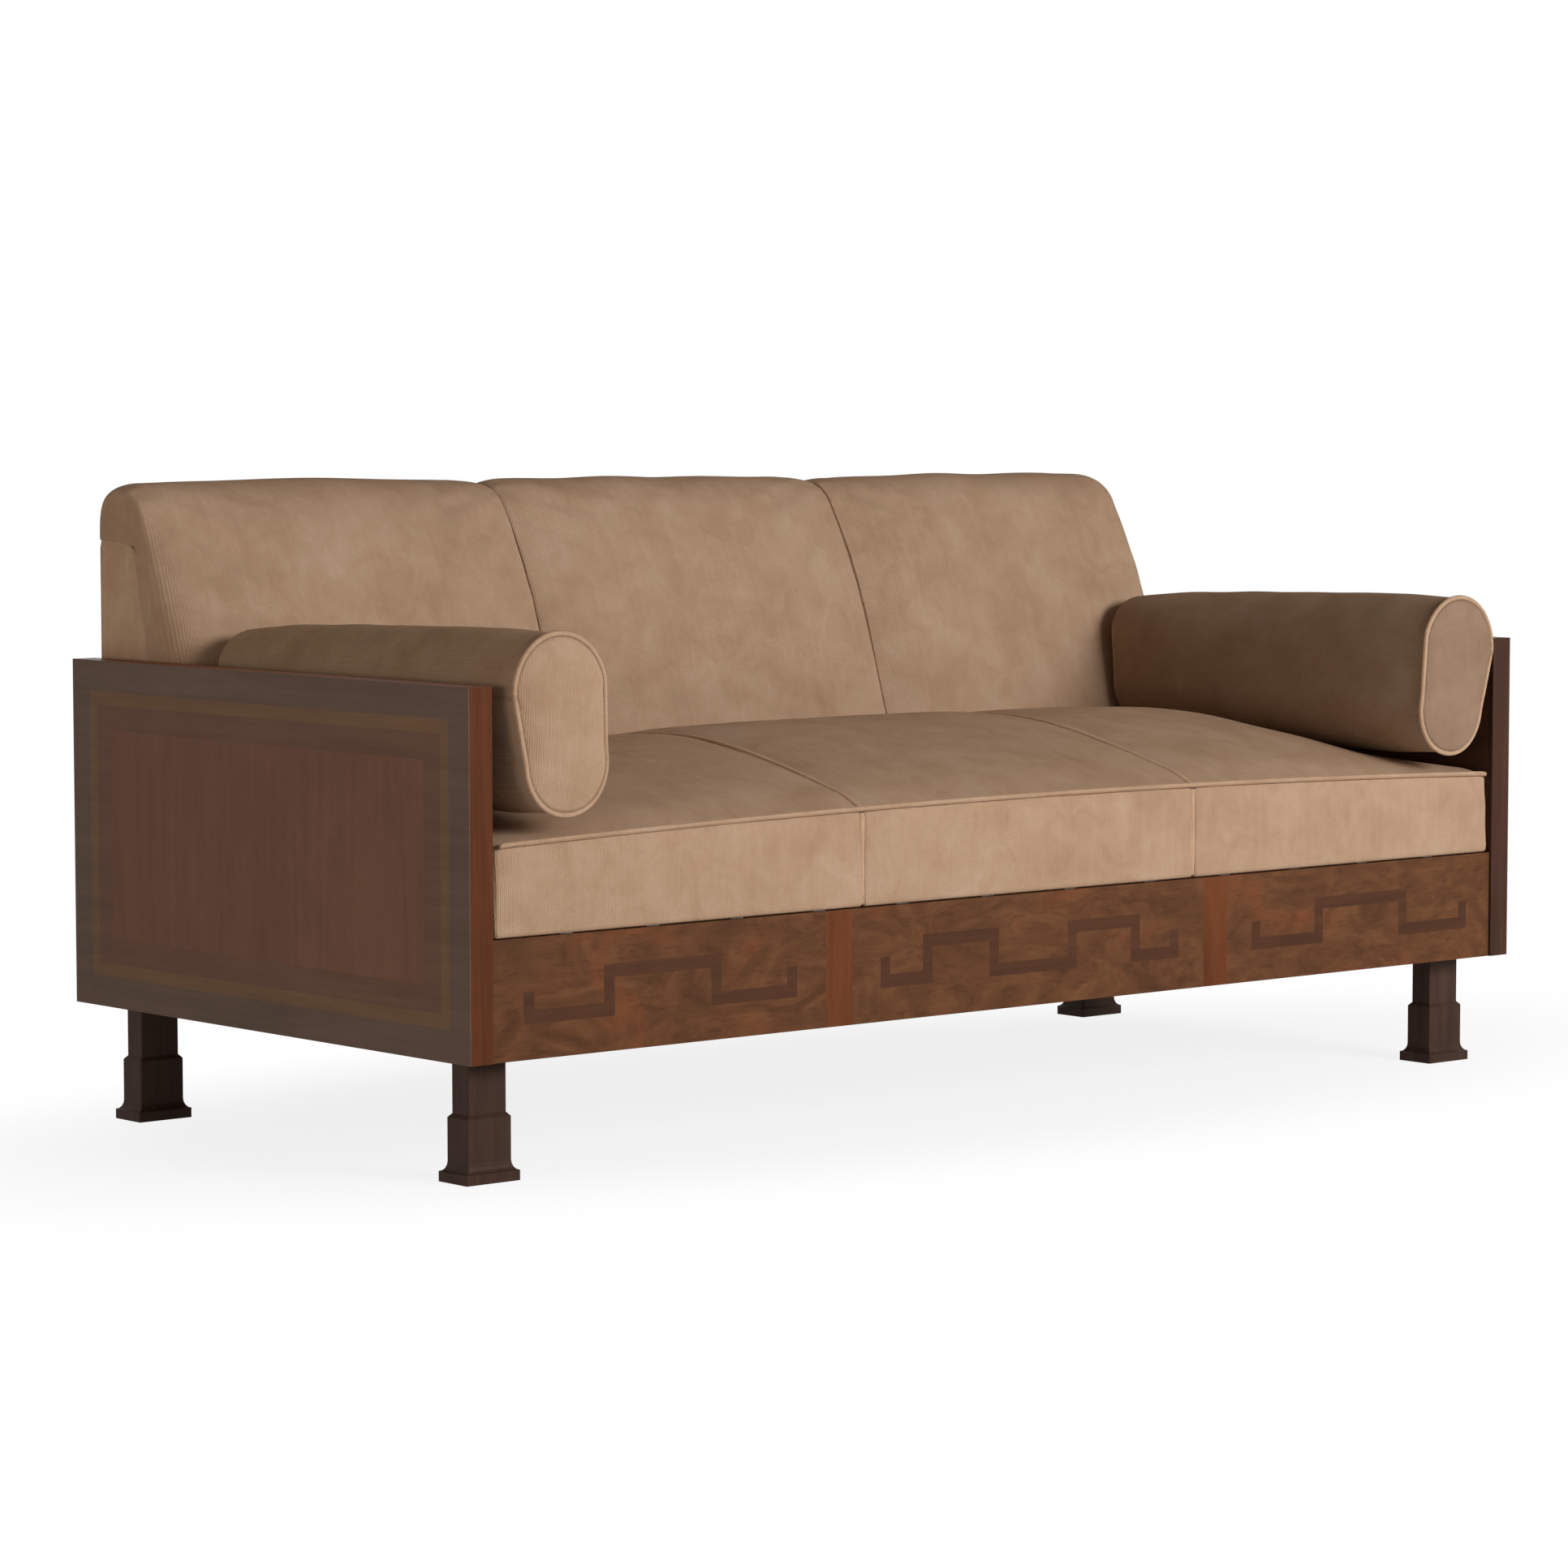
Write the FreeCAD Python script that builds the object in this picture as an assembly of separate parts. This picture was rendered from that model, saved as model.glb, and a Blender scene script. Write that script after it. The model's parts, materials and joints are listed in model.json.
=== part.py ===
"""Art deco sofa: two inlaid side panels, a railed seat frame on stepped legs, a sprung and crowned seat,
a padded back in three sections and two loose bolsters.

X runs along the sofa, -Y is its front and +Z is up. The origin is on the floor, in the middle of the
sofa's outline. All sizes are in millimetres and all angles in degrees.
"""
import FreeCAD, Part
import math
import os
from FreeCAD import Vector

# Overall sizes
overall_width = 1900.0
panel_depth = 884.0
panel_height = 465.0
panel_thickness = 36.0
leg_height = 157.0
back_height = 860.0
centre_section_width = 609.0
bolster_overhang = 26.0

# Side panel finish
veneer_thickness = 1.2
lipping_width = 8.0
border_width = 41.0
banding_width = 18.0
crossband_width = 34.0

# Seat frame
rail_height = 152.0
rail_thickness = 28.0
front_reveal = 4.0
back_reveal = 3.0
end_rail_thickness = 54.0
cross_bar_thickness = 36.0
cross_bar_height = 80.0
spring_rail_width = 85.0
spring_rail_height = 45.0
spring_rail_lead = 42.0
corner_block_side = 80.0
corner_block_height = 70.0
corner_block_rise = 20.0

# Front rail inlay
band_width = 45.0
band_offset = 347.0
key_line = 17.0
key_low = 53.0
key_high = 101.5
key_margin = 58.0
key_return = 23.0
key_centre_tail = 75.0
key_centre_dip = 144.0
key_side_tail = 127.0

# Legs
leg_inset_x = 35.0
leg_inset_y = 77.0
leg_shaft_x = 59.0
leg_shaft_y = 35.0
leg_block_step = 4.5
leg_plinth_step = 8.0
leg_plinth_height = 13.0
leg_flare_height = 13.0
leg_block_height = 60.0
leg_shoulder_height = 5.0
leg_corner_radius = 2.0

# Fasteners
bolt_radius = 5.0
leg_bolt_in_leg = 45.0
leg_bolt_in_rail = 70.0
panel_bolt_radius = 4.0
panel_bolt_head_radius = 9.0
panel_bolt_head_height = 6.0
panel_bolt_grip = 20.0
panel_bolt_spacing = 240.0
dowel_radius = 5.0
dowel_depth = 26.0
rail_dowel_depth = 14.0
dowel_spacing = 72.0
rib_dowel_spacing = 110.0
screw_radius = 2.5
screw_head_radius = 5.0
screw_head_height = 3.0
screw_seat = 22.0
screw_grip = 18.0
screw_offset = 27.0
screw_stagger = 14.0

# Seat springs
springs_per_bay = 4
spring_wire_radius = 2.0
spring_half_run = 18.0
spring_pitch = 30.0
spring_rise = 38.0
clip_length = 20.0
clip_width = 11.0
clip_height = 8.0
clip_inset = 14.0

# Soft goods
cover_thickness = 3.0
hessian_thickness = 1.5
hessian_margin = 20.0
dust_cover_thickness = 1.0
dust_cover_margin = 10.0
welt_radius = 3.5
seam_welt_radius = 2.8

# Seat form
seat_front_lead = 1.0
seat_end_gap = 4.0
seat_edge_height = 131.0
seat_edge_droop = 16.0
seat_crown = 82.0
seat_end_crown = 3.0
seat_crest_setback = 388.0
seat_flat_half = 480.0
seat_fall_power = 1.25
seam_depth = 4.0
seam_half_width = 12.0

# Back form
back_base_depth = 315.0
back_lean = 17.1
back_straight_height = 326.0
back_roll_rear = 58.0
back_roll_front = 72.0
back_roll_drop = 44.0
shoulder_share = 0.5
back_crown = 8.0
back_edge_radius = 36.0
back_edge_draw = 9.0
back_end_radius = 58.0
back_end_draw = 30.0
back_end_base_draw = 6.0
back_top_padding = 80.0
back_end_gap = 3.0
back_section_gap = 0.6
pad_base_thickness = 127.0
rib_lean = 12.8
rib_thickness = 28.0
rib_end_inset = 10.0
top_rail_height = 34.0
tuck_rail_rise = 25.0
tuck_rail_height = 40.0
tuck_rail_depth = 25.0
webbing_count = 7
webbing_width = 45.0
webbing_thickness = 2.0
outside_back_thickness = 3.0

# Bolsters
bolster_height = 236.0
bolster_top_radius = 77.0
bolster_bottom_radius = 68.0
bolster_centre_inset = 99.0
bolster_tilt = 5.0
bolster_cap_bulge = 12.0
bolster_rear_bulge = 5.0
bolster_cap_inset = 48.0
bolster_end_draw = 3.0
bolster_end_fade = 112.0

# Clearances
fit_clearance = 0.1
layer_clearance = 0.2
soft_clearance = 0.4
pad_clearance = 1.0
cut_margin = 5.0

# Places worked out from the sizes above
inner_half = overall_width / 2 - panel_thickness
outer_half = overall_width / 2
rear_y = (panel_depth + bolster_overhang) / 2
front_y = rear_y - panel_depth
panel_top = leg_height + panel_height
rail_top = leg_height + rail_height
rail_face_y = front_y + front_reveal
rail_core_front = rail_face_y + veneer_thickness
rail_core_rear = rail_face_y + rail_thickness
back_face_y = rear_y - back_reveal
rear_rail_front = back_face_y - rail_thickness
back_plane_y = back_face_y - outside_back_thickness
end_rail_inner = inner_half - end_rail_thickness
seam_x = centre_section_width / 2
leg_x = inner_half - leg_inset_x
leg_front_y = front_y + leg_inset_y
leg_rear_y = rear_y - leg_inset_y
back_slope = math.tan(math.radians(back_lean))
rib_slope = math.tan(math.radians(rib_lean))
back_front_base = back_face_y - back_base_depth
rib_front_base = back_front_base + pad_base_thickness
rib_top = back_height - back_top_padding
top_rail_base = rib_top - top_rail_height
end_rib_x = inner_half - rib_end_inset - rib_thickness / 2
spring_rail_front = back_front_base - spring_rail_lead

parts = {}
boards = {}
dowels = []


def box(x0, x1, y0, y1, z0, z1):
    """A box between two corners."""
    return Part.makeBox(x1 - x0, y1 - y0, z1 - z0, Vector(x0, y0, z0))


def rod(start, direction, length, radius):
    """A round bar from a start point."""
    return Part.makeCylinder(radius, length, start, direction)


def prism(points_yz, x0, x1):
    """A polygon in the YZ plane, drawn out along X."""
    corners = [Vector(x0, y, z) for y, z in points_yz]
    face = Part.Face(Part.makePolygon(corners + corners[:1]))
    return face.extrude(Vector(x1 - x0, 0, 0))


def line(a, b):
    return Part.makeLine(a, b)


def arc(a, middle, b):
    return Part.Arc(a, middle, b).toShape()


def loft(wires):
    """A solid ruled through closed outlines with matching corners."""
    return Part.makeLoft(wires, True, True)


def mirrored(shape):
    """The same shape on the other side of the sofa's middle plane."""
    return shape.mirror(Vector(0, 0, 0), Vector(1, 0, 0))


def put(name, *shapes):
    """Keep one sub-part, made of one or more separate solids."""
    solids = [solid for shape in shapes for solid in shape.Solids]
    parts[name] = solids[0] if len(solids) == 1 else Part.makeCompound(solids)


def rib_y(z):
    """The front edge of the back ribs at a height."""
    return rib_front_base + (z - rail_top) * rib_slope


def back_front_y(z):
    """The straight lower face of the back, at its fullest, at a height."""
    return back_front_base + (z - rail_top) * back_slope


def mitred_frame(x0, x1, inset, width):
    """Four mitred strips, set in from the side panel's outline."""
    y0 = front_y + inset
    y1 = rear_y - inset
    z0 = leg_height + inset
    z1 = panel_top - inset
    outer = [(y0, z0), (y1, z0), (y1, z1), (y0, z1)]
    inner = [(y0 + width, z0 + width), (y1 - width, z0 + width),
             (y1 - width, z1 - width), (y0 + width, z1 - width)]
    strips = []
    for i in range(len(outer)):
        j = (i + 1) % len(outer)
        strips.append(prism([outer[i], outer[j], inner[j], inner[i]], x0, x1))
    return strips


def make_side_panels():
    """Lipped boards with a veneered outer face: border, banding, crossband and field."""
    x_face = -outer_half
    x_board = x_face + veneer_thickness
    x_inner = -inner_half
    layers = {"lippings": mitred_frame(x_board, x_inner, 0, lipping_width)}
    inset = 0
    widths = {"border": border_width, "banding": banding_width, "crossband": crossband_width}
    for name, width in widths.items():
        layers[name] = mitred_frame(x_face, x_board, inset, width)
        inset = inset + width
    layers["field"] = [box(x_face, x_board, front_y + inset, rear_y - inset,
                           leg_height + inset, panel_top - inset)]
    board = box(x_board, x_inner, front_y + lipping_width, rear_y - lipping_width,
                leg_height + lipping_width, panel_top - lipping_width)
    boards["left_panel_board"] = board
    boards["right_panel_board"] = mirrored(board)
    for name, shapes in layers.items():
        put("left_panel_" + name, *shapes)
        put("right_panel_" + name, *[mirrored(shape) for shape in shapes])


def key_inlay(centre_x, points):
    """A meander of even bars through points given from the rail's middle line and lower edge."""
    half = key_line / 2
    bars = []
    for (xa, za), (xb, zb) in zip(points, points[1:]):
        bars.append(box(centre_x + min(xa, xb) - half, centre_x + max(xa, xb) + half,
                        rail_face_y, rail_core_front,
                        leg_height + min(za, zb) - half, leg_height + max(za, zb) + half))
    return bars[0].multiFuse(bars[1:]).removeSplitter()


def make_front_rail():
    """The rail's core and its veneer sheets, bands and keys, all flush."""
    band_outer = band_offset + band_width / 2
    band_inner = band_offset - band_width / 2
    side_centre = (band_outer + inner_half) / 2
    side_half = (inner_half - band_outer) / 2 - key_margin
    side_riser = side_half - key_side_tail
    centre_half = band_inner - key_margin
    centre_riser = centre_half - key_centre_tail
    dip = key_centre_dip / 2
    end_height = key_low + key_return
    side_right = [(0, key_high), (side_riser, key_high), (side_riser, key_low), (side_half, key_low),
                  (side_half, end_height)]
    centre_right = [(0, key_low), (dip, key_low), (dip, key_high), (centre_riser, key_high),
                    (centre_riser, key_low), (centre_half, key_low), (centre_half, end_height)]
    side_points = [(-x, z) for x, z in reversed(side_right)] + side_right[1:]
    centre_points = [(-x, z) for x, z in reversed(centre_right)] + centre_right[1:]
    sheets = {
        "left": (-inner_half, -band_outer, key_inlay(-side_centre, side_points)),
        "centre": (-band_inner, band_inner, key_inlay(0, centre_points)),
        "right": (band_outer, inner_half, key_inlay(side_centre, side_points)),
    }
    veneers = []
    for name, (x0, x1, key) in sheets.items():
        sheet = box(x0, x1, rail_face_y, rail_core_front, leg_height, rail_top)
        veneers.append(sheet.cut(key))
        put("front_key_" + name, key)
    put("front_veneers", *veneers)
    bands = [box(side * band_offset - band_width / 2, side * band_offset + band_width / 2,
                 rail_face_y, rail_core_front, leg_height, rail_top) for side in (-1, 1)]
    put("front_bands", *bands)
    boards["front_rail"] = box(-inner_half, inner_half, rail_core_front, rail_core_rear,
                               leg_height, rail_top)


def make_seat_frame():
    """Rear rail, end rails, cross bars and spring rails."""
    boards["rear_rail"] = box(-inner_half, inner_half, rear_rail_front, back_face_y, leg_height, rail_top)
    half_bar = cross_bar_thickness / 2
    spring_spans = {
        "left": (-end_rail_inner, -seam_x - half_bar),
        "centre": (-seam_x + half_bar, seam_x - half_bar),
        "right": (seam_x + half_bar, end_rail_inner),
    }
    for side, sign in (("left", -1), ("right", 1)):
        middle = sign * (end_rail_inner + inner_half) / 2
        boards[side + "_end_rail"] = box(middle - end_rail_thickness / 2, middle + end_rail_thickness / 2,
                                         rail_core_rear, rear_rail_front, leg_height, rail_top)
        boards[side + "_cross_bar"] = box(sign * seam_x - half_bar, sign * seam_x + half_bar,
                                          rail_core_rear, rear_rail_front,
                                          rail_top - cross_bar_height, rail_top)
    for name, (x0, x1) in spring_spans.items():
        boards[name + "_spring_rail"] = box(x0, x1, spring_rail_front,
                                            spring_rail_front + spring_rail_width,
                                            rail_top - spring_rail_height, rail_top)


def make_back_frame():
    """Wedge ribs standing on the seat frame, with a top rail over them and tuck rails between them."""
    profile = [(rib_front_base, rail_top), (rib_y(top_rail_base), top_rail_base),
               (back_plane_y, top_rail_base), (back_plane_y, rail_top)]
    half = rib_thickness / 2
    for name, x in (("left_end_rib", -end_rib_x), ("left_middle_rib", -seam_x),
                    ("right_middle_rib", seam_x), ("right_end_rib", end_rib_x)):
        boards[name] = prism(profile, x - half, x + half)
    top_profile = [(rib_y(top_rail_base), top_rail_base), (rib_y(rib_top), rib_top),
                   (back_plane_y, rib_top), (back_plane_y, top_rail_base)]
    boards["back_top_rail"] = prism(top_profile, -end_rib_x - half, end_rib_x + half)
    z0 = rail_top + tuck_rail_rise
    z1 = z0 + tuck_rail_height
    tuck_profile = [(rib_y(z0), z0), (rib_y(z1), z1), (rib_y(z1) + tuck_rail_depth, z1),
                    (rib_y(z0) + tuck_rail_depth, z0)]
    ribs_x = [-end_rib_x, -seam_x, seam_x, end_rib_x]
    put("back_tuck_rails", *[prism(tuck_profile, a + half, b - half) for a, b in zip(ribs_x, ribs_x[1:])])


def add_dowel(first, second, point, direction, first_depth, second_depth):
    """A dowel across the joint at a point, with its two blind holes."""
    start = point - direction * first_depth
    length = first_depth + second_depth
    dowels.append(rod(start, direction, length, dowel_radius))
    hole = rod(start - direction * fit_clearance, direction, length + 2 * fit_clearance,
               dowel_radius + fit_clearance)
    for name in (first, second):
        boards[name] = boards[name].cut(hole)


def make_dowels():
    """Dowels at each joint of the seat frame and the back frame."""
    along_y = Vector(0, 1, 0)
    along_x = Vector(1, 0, 0)
    upward = Vector(0, 0, 1)
    rail_middle = leg_height + rail_height / 2
    bar_middle = rail_top - cross_bar_height / 2
    spring_middle = rail_top - spring_rail_height / 2
    spring_y = spring_rail_front + spring_rail_width / 2
    rib_middle = (rib_front_base + back_plane_y) / 2
    top_middle = (rib_y(top_rail_base) + back_plane_y) / 2
    for side, sign in (("left", -1), ("right", 1)):
        end_x = sign * (end_rail_inner + inner_half) / 2
        for name, x, z, step in ((side + "_end_rail", end_x, rail_middle, dowel_spacing),
                                 (side + "_cross_bar", sign * seam_x, bar_middle, dowel_spacing / 2)):
            for dz in (-step / 2, step / 2):
                add_dowel("front_rail", name, Vector(x, rail_core_rear, z + dz), along_y,
                          rail_dowel_depth, dowel_depth)
                add_dowel(name, "rear_rail", Vector(x, rear_rail_front, z + dz), along_y,
                          dowel_depth, rail_dowel_depth)
        for rib, base, x in ((side + "_end_rib", side + "_end_rail", sign * end_rib_x),
                             (side + "_middle_rib", side + "_cross_bar", sign * seam_x)):
            for dy in (-rib_dowel_spacing / 2, rib_dowel_spacing / 2):
                add_dowel(base, rib, Vector(x, rib_middle + dy, rail_top), upward, dowel_depth, dowel_depth)
            add_dowel(rib, "back_top_rail", Vector(x, top_middle, top_rail_base), upward,
                      dowel_depth, rail_dowel_depth)
        outer_joint = Vector(sign * end_rail_inner, spring_y, spring_middle)
        inner_joint = Vector(sign * (seam_x + cross_bar_thickness / 2), spring_y, spring_middle)
        centre_joint = Vector(sign * (seam_x - cross_bar_thickness / 2), spring_y, spring_middle)
        outward = along_x * sign
        add_dowel(side + "_spring_rail", side + "_end_rail", outer_joint, outward, dowel_depth, dowel_depth)
        add_dowel(side + "_cross_bar", side + "_spring_rail", inner_joint, outward,
                  rail_dowel_depth, dowel_depth)
        add_dowel("centre_spring_rail", side + "_cross_bar", centre_joint, outward,
                  dowel_depth, rail_dowel_depth)
    put("frame_dowels", *dowels)


def make_corner_blocks():
    """Triangular blocks in the frame's corners, each held by a screw into both rails."""
    blocks = []
    screws = []
    z0 = leg_height + corner_block_rise
    middle_z = z0 + corner_block_height / 2
    for sign_x, sign_y in ((-1, -1), (1, -1), (-1, 1), (1, 1)):
        corner = Vector(sign_x * end_rail_inner, rail_core_rear if sign_y < 0 else rear_rail_front, z0)
        along_x = Vector(-sign_x, 0, 0)
        along_y = Vector(0, -sign_y, 0)
        outline = [corner, corner + along_x * corner_block_side,
                   corner + along_y * corner_block_side, corner]
        block = Part.Face(Part.makePolygon(outline)).extrude(Vector(0, 0, corner_block_height))
        rail = "front_rail" if sign_y < 0 else "rear_rail"
        end_rail = ("left" if sign_x < 0 else "right") + "_end_rail"
        for inward, sideways, board, dz in ((along_y, along_x, rail, screw_stagger),
                                            (along_x, along_y, end_rail, -screw_stagger)):
            seat = corner + sideways * screw_offset + inward * screw_seat
            seat.z = middle_z + dz
            length = screw_seat + screw_grip
            head = rod(seat, inward, screw_head_height, screw_head_radius)
            shank = rod(seat - inward * length, inward, length, screw_radius)
            screws.append(head.fuse(shank).removeSplitter())
            head_hole = rod(seat - inward * fit_clearance, inward, corner_block_side,
                            screw_head_radius + fit_clearance)
            shank_hole = rod(seat - inward * (length + fit_clearance), inward, length + fit_clearance,
                             screw_radius + fit_clearance)
            block = block.cut(head_hole).cut(shank_hole)
            boards[board] = boards[board].cut(shank_hole)
        blocks.append(block)
    put("corner_blocks", *blocks)
    put("corner_screws", *screws)


def rounded_rectangle(x, y, z, half_x, half_y, radius):
    """A closed outline at a height, with rounded corners."""
    bend = radius * (1 - math.sqrt(0.5))
    edges = []
    for sign_x, sign_y, turn_x in ((1, 1, False), (-1, 1, True), (-1, -1, False), (1, -1, True)):
        corner = Vector(x + sign_x * half_x, y + sign_y * half_y, z)
        on_x = corner - Vector(sign_x * radius, 0, 0)
        on_y = corner - Vector(0, sign_y * radius, 0)
        middle = corner - Vector(sign_x * bend, sign_y * bend, 0)
        start, end = (on_x, on_y) if turn_x else (on_y, on_x)
        edges.append((start, middle, end))
    shapes = []
    for i, (start, middle, end) in enumerate(edges):
        shapes.append(arc(start, middle, end))
        shapes.append(line(end, edges[(i + 1) % len(edges)][0]))
    return Part.Wire(shapes)


def make_legs():
    """Stepped legs: a plinth with a coved flare, a block with a sloped shoulder and a slender shaft."""
    block_top = leg_plinth_height + leg_flare_height + leg_block_height
    steps = [(0, leg_block_step + leg_plinth_step), (leg_plinth_height, leg_block_step + leg_plinth_step)]
    flare_steps = 4
    for i in range(1, flare_steps + 1):
        turn = math.radians(90.0 * i / flare_steps)
        height = leg_plinth_height + leg_flare_height * (1 - math.cos(turn))
        steps.append((height, leg_block_step + leg_plinth_step * (1 - math.sin(turn))))
    steps = steps + [(block_top - leg_shoulder_height, leg_block_step), (block_top, 0), (leg_height, 0)]
    bolts = []
    for name, sign, y, rail in (("front_left_leg", -1, leg_front_y, "left_end_rail"),
                                ("front_right_leg", 1, leg_front_y, "right_end_rail"),
                                ("rear_left_leg", -1, leg_rear_y, "left_end_rail"),
                                ("rear_right_leg", 1, leg_rear_y, "right_end_rail")):
        x = sign * leg_x
        outlines = [rounded_rectangle(x, y, z, leg_shaft_x / 2 + step, leg_shaft_y / 2 + step,
                                      leg_corner_radius) for z, step in steps]
        upward = Vector(0, 0, 1)
        start = Vector(x, y, leg_height - leg_bolt_in_leg)
        length = leg_bolt_in_leg + leg_bolt_in_rail
        bolts.append(rod(start, upward, length, bolt_radius))
        hole = rod(start - upward * fit_clearance, upward, length + 2 * fit_clearance,
                   bolt_radius + fit_clearance)
        put(name, loft(outlines).cut(hole))
        boards[rail] = boards[rail].cut(hole)
    put("leg_bolts", *bolts)


def make_panel_bolts():
    """Bolts from inside the seat frame, through the end rails into the side panels."""
    bolts = []
    z = leg_height + rail_height / 2
    for side, sign in (("left", -1), ("right", 1)):
        outward = Vector(sign, 0, 0)
        for step in (-1, 0, 1):
            seat = Vector(sign * end_rail_inner, step * panel_bolt_spacing, z)
            length = end_rail_thickness + panel_bolt_grip
            head = rod(seat, outward * -1, panel_bolt_head_height, panel_bolt_head_radius)
            shank = rod(seat, outward, length, panel_bolt_radius)
            bolts.append(head.fuse(shank).removeSplitter())
            hole = rod(seat, outward, length + fit_clearance, panel_bolt_radius + fit_clearance)
            for name in (side + "_end_rail", side + "_panel_board"):
                boards[name] = boards[name].cut(hole)
    put("panel_bolts", *bolts)


# Seat springs and the layers over them share one arch, an arc over the clips
spring_front_y = rail_core_rear - clip_inset
spring_rear_y = spring_rail_front + clip_inset
spring_end_z = rail_top + clip_height / 2
spring_half_span = (spring_rear_y - spring_front_y) / 2
arch_y = (spring_rear_y + spring_front_y) / 2
arch_radius = (spring_half_span ** 2 + spring_rise ** 2) / (2 * spring_rise)
arch_z = spring_end_z + spring_rise - arch_radius
clip_corner_radius = math.hypot(spring_half_span + clip_width / 2, rail_top + clip_height - arch_z)
hessian_radius = clip_corner_radius + layer_clearance
filling_bed_radius = hessian_radius + hessian_thickness + layer_clearance


def arch_point(radius, y, x=0.0):
    """A point over the springs at a given radius of the arch."""
    return Vector(x, y, arch_z + math.sqrt(radius ** 2 - (y - arch_y) ** 2))


def zigzag_spring(x):
    """One wire bent to and fro across X, along the arch from the front clip to the rear clip."""
    half_angle = math.asin(spring_half_span / arch_radius)
    bends = 2 * round(arch_radius * half_angle / spring_pitch)
    rows = []
    for i in range(bends + 1):
        turn = half_angle * (2.0 * i / bends - 1)
        rows.append((arch_y + arch_radius * math.sin(turn), arch_z + arch_radius * math.cos(turn)))
    edges = []
    for i, (y, z) in enumerate(rows):
        way = 1 if i % 2 == 0 else -1
        edges.append(line(Vector(x - way * spring_half_run, y, z), Vector(x + way * spring_half_run, y, z)))
        if i < bends:
            next_y, next_z = rows[i + 1]
            bend_radius = math.hypot(next_y - y, next_z - z) / 2
            bend_x = x + way * (spring_half_run + bend_radius)
            edges.append(arc(Vector(x + way * spring_half_run, y, z),
                             Vector(bend_x, (y + next_y) / 2, (z + next_z) / 2),
                             Vector(x + way * spring_half_run, next_y, next_z)))
    path = Part.Wire(edges)
    start = Vector(x - spring_half_run, rows[0][0], rows[0][1])
    ring = Part.Wire(Part.makeCircle(spring_wire_radius, start, Vector(1, 0, 0)))
    return path.makePipeShell([ring], True, False)


def make_springs():
    """Zigzag springs in the three bays, with a bored clip at each end of each spring."""
    springs = []
    clips = []
    bays = [(-end_rail_inner, -seam_x), (-seam_x, seam_x), (seam_x, end_rail_inner)]
    for x0, x1 in bays:
        for i in range(springs_per_bay):
            x = x0 + (x1 - x0) * (i + 0.5) / springs_per_bay
            springs.append(zigzag_spring(x))
            for y in (spring_front_y, spring_rear_y):
                block = box(x - clip_length / 2, x + clip_length / 2,
                            y - clip_width / 2, y + clip_width / 2,
                            rail_top, rail_top + clip_height)
                bore = rod(Vector(x - clip_length, y, spring_end_z), Vector(1, 0, 0), 2 * clip_length,
                           spring_wire_radius + fit_clearance)
                clips.append(block.cut(bore))
    put("seat_springs", *springs)
    put("spring_clips", *clips)


def make_seat_hessian():
    """A cloth over the springs, curved to their arch."""
    y0 = spring_front_y - clip_width / 2
    y1 = spring_rear_y + clip_width / 2
    x0 = -inner_half + hessian_margin
    lower = hessian_radius
    upper = hessian_radius + hessian_thickness
    outline = Part.Wire([
        arc(arch_point(lower, y0, x0), arch_point(lower, arch_y, x0), arch_point(lower, y1, x0)),
        line(arch_point(lower, y1, x0), arch_point(upper, y1, x0)),
        arc(arch_point(upper, y1, x0), arch_point(upper, arch_y, x0), arch_point(upper, y0, x0)),
        line(arch_point(upper, y0, x0), arch_point(lower, y0, x0)),
    ])
    put("seat_hessian", Part.Face(outline).extrude(Vector(-2 * x0, 0, 0)))


# Seat form: each cross section is a front wall, an arc over the crest and a sloped rear wall
seat_front_y = rail_face_y - seat_front_lead
seat_end_x = inner_half - seat_end_gap
seat_base_z = rail_top + layer_clearance
seat_crest_y = seat_front_y + seat_crest_setback
seat_rear_base = back_front_y(seat_base_z) - pad_clearance


def seat_edge_z(x):
    """Height of the seat's front edge, which droops towards both ends."""
    return rail_top + seat_edge_height - seat_edge_droop * (x / seat_end_x) ** 2


def seat_crown_at(x):
    """Height of the crest over the front edge: full in the middle, falling off to the ends."""
    reach = max(0.0, (abs(x) - seat_flat_half) / (seat_end_x - seat_flat_half))
    fall = math.cos(math.pi / 2 * min(1.0, reach)) if reach < 1.0 else 0.0
    return seat_end_crown + (seat_crown - seat_end_crown) * fall ** seat_fall_power


def seat_circle(x, inset):
    """Radius and centre height of the arc over the crest."""
    crown = seat_crown_at(x)
    radius = (seat_crest_setback ** 2 + crown ** 2) / (2 * crown)
    return radius - inset, seat_edge_z(x) + crown - radius


def seat_rear_top(x, inset):
    """Where the crest arc meets the sloped rear wall."""
    radius, centre_z = seat_circle(x, inset)
    base = seat_rear_base - inset / math.cos(math.radians(back_lean)) - seat_crest_y
    start = base + (centre_z - seat_base_z) * back_slope
    a = 1 + back_slope ** 2
    b = 2 * start * back_slope
    c = start ** 2 - radius ** 2
    height = (-b + math.sqrt(b ** 2 - 4 * a * c)) / (2 * a)
    return Vector(x, seat_crest_y + start + height * back_slope, centre_z + height)


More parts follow.
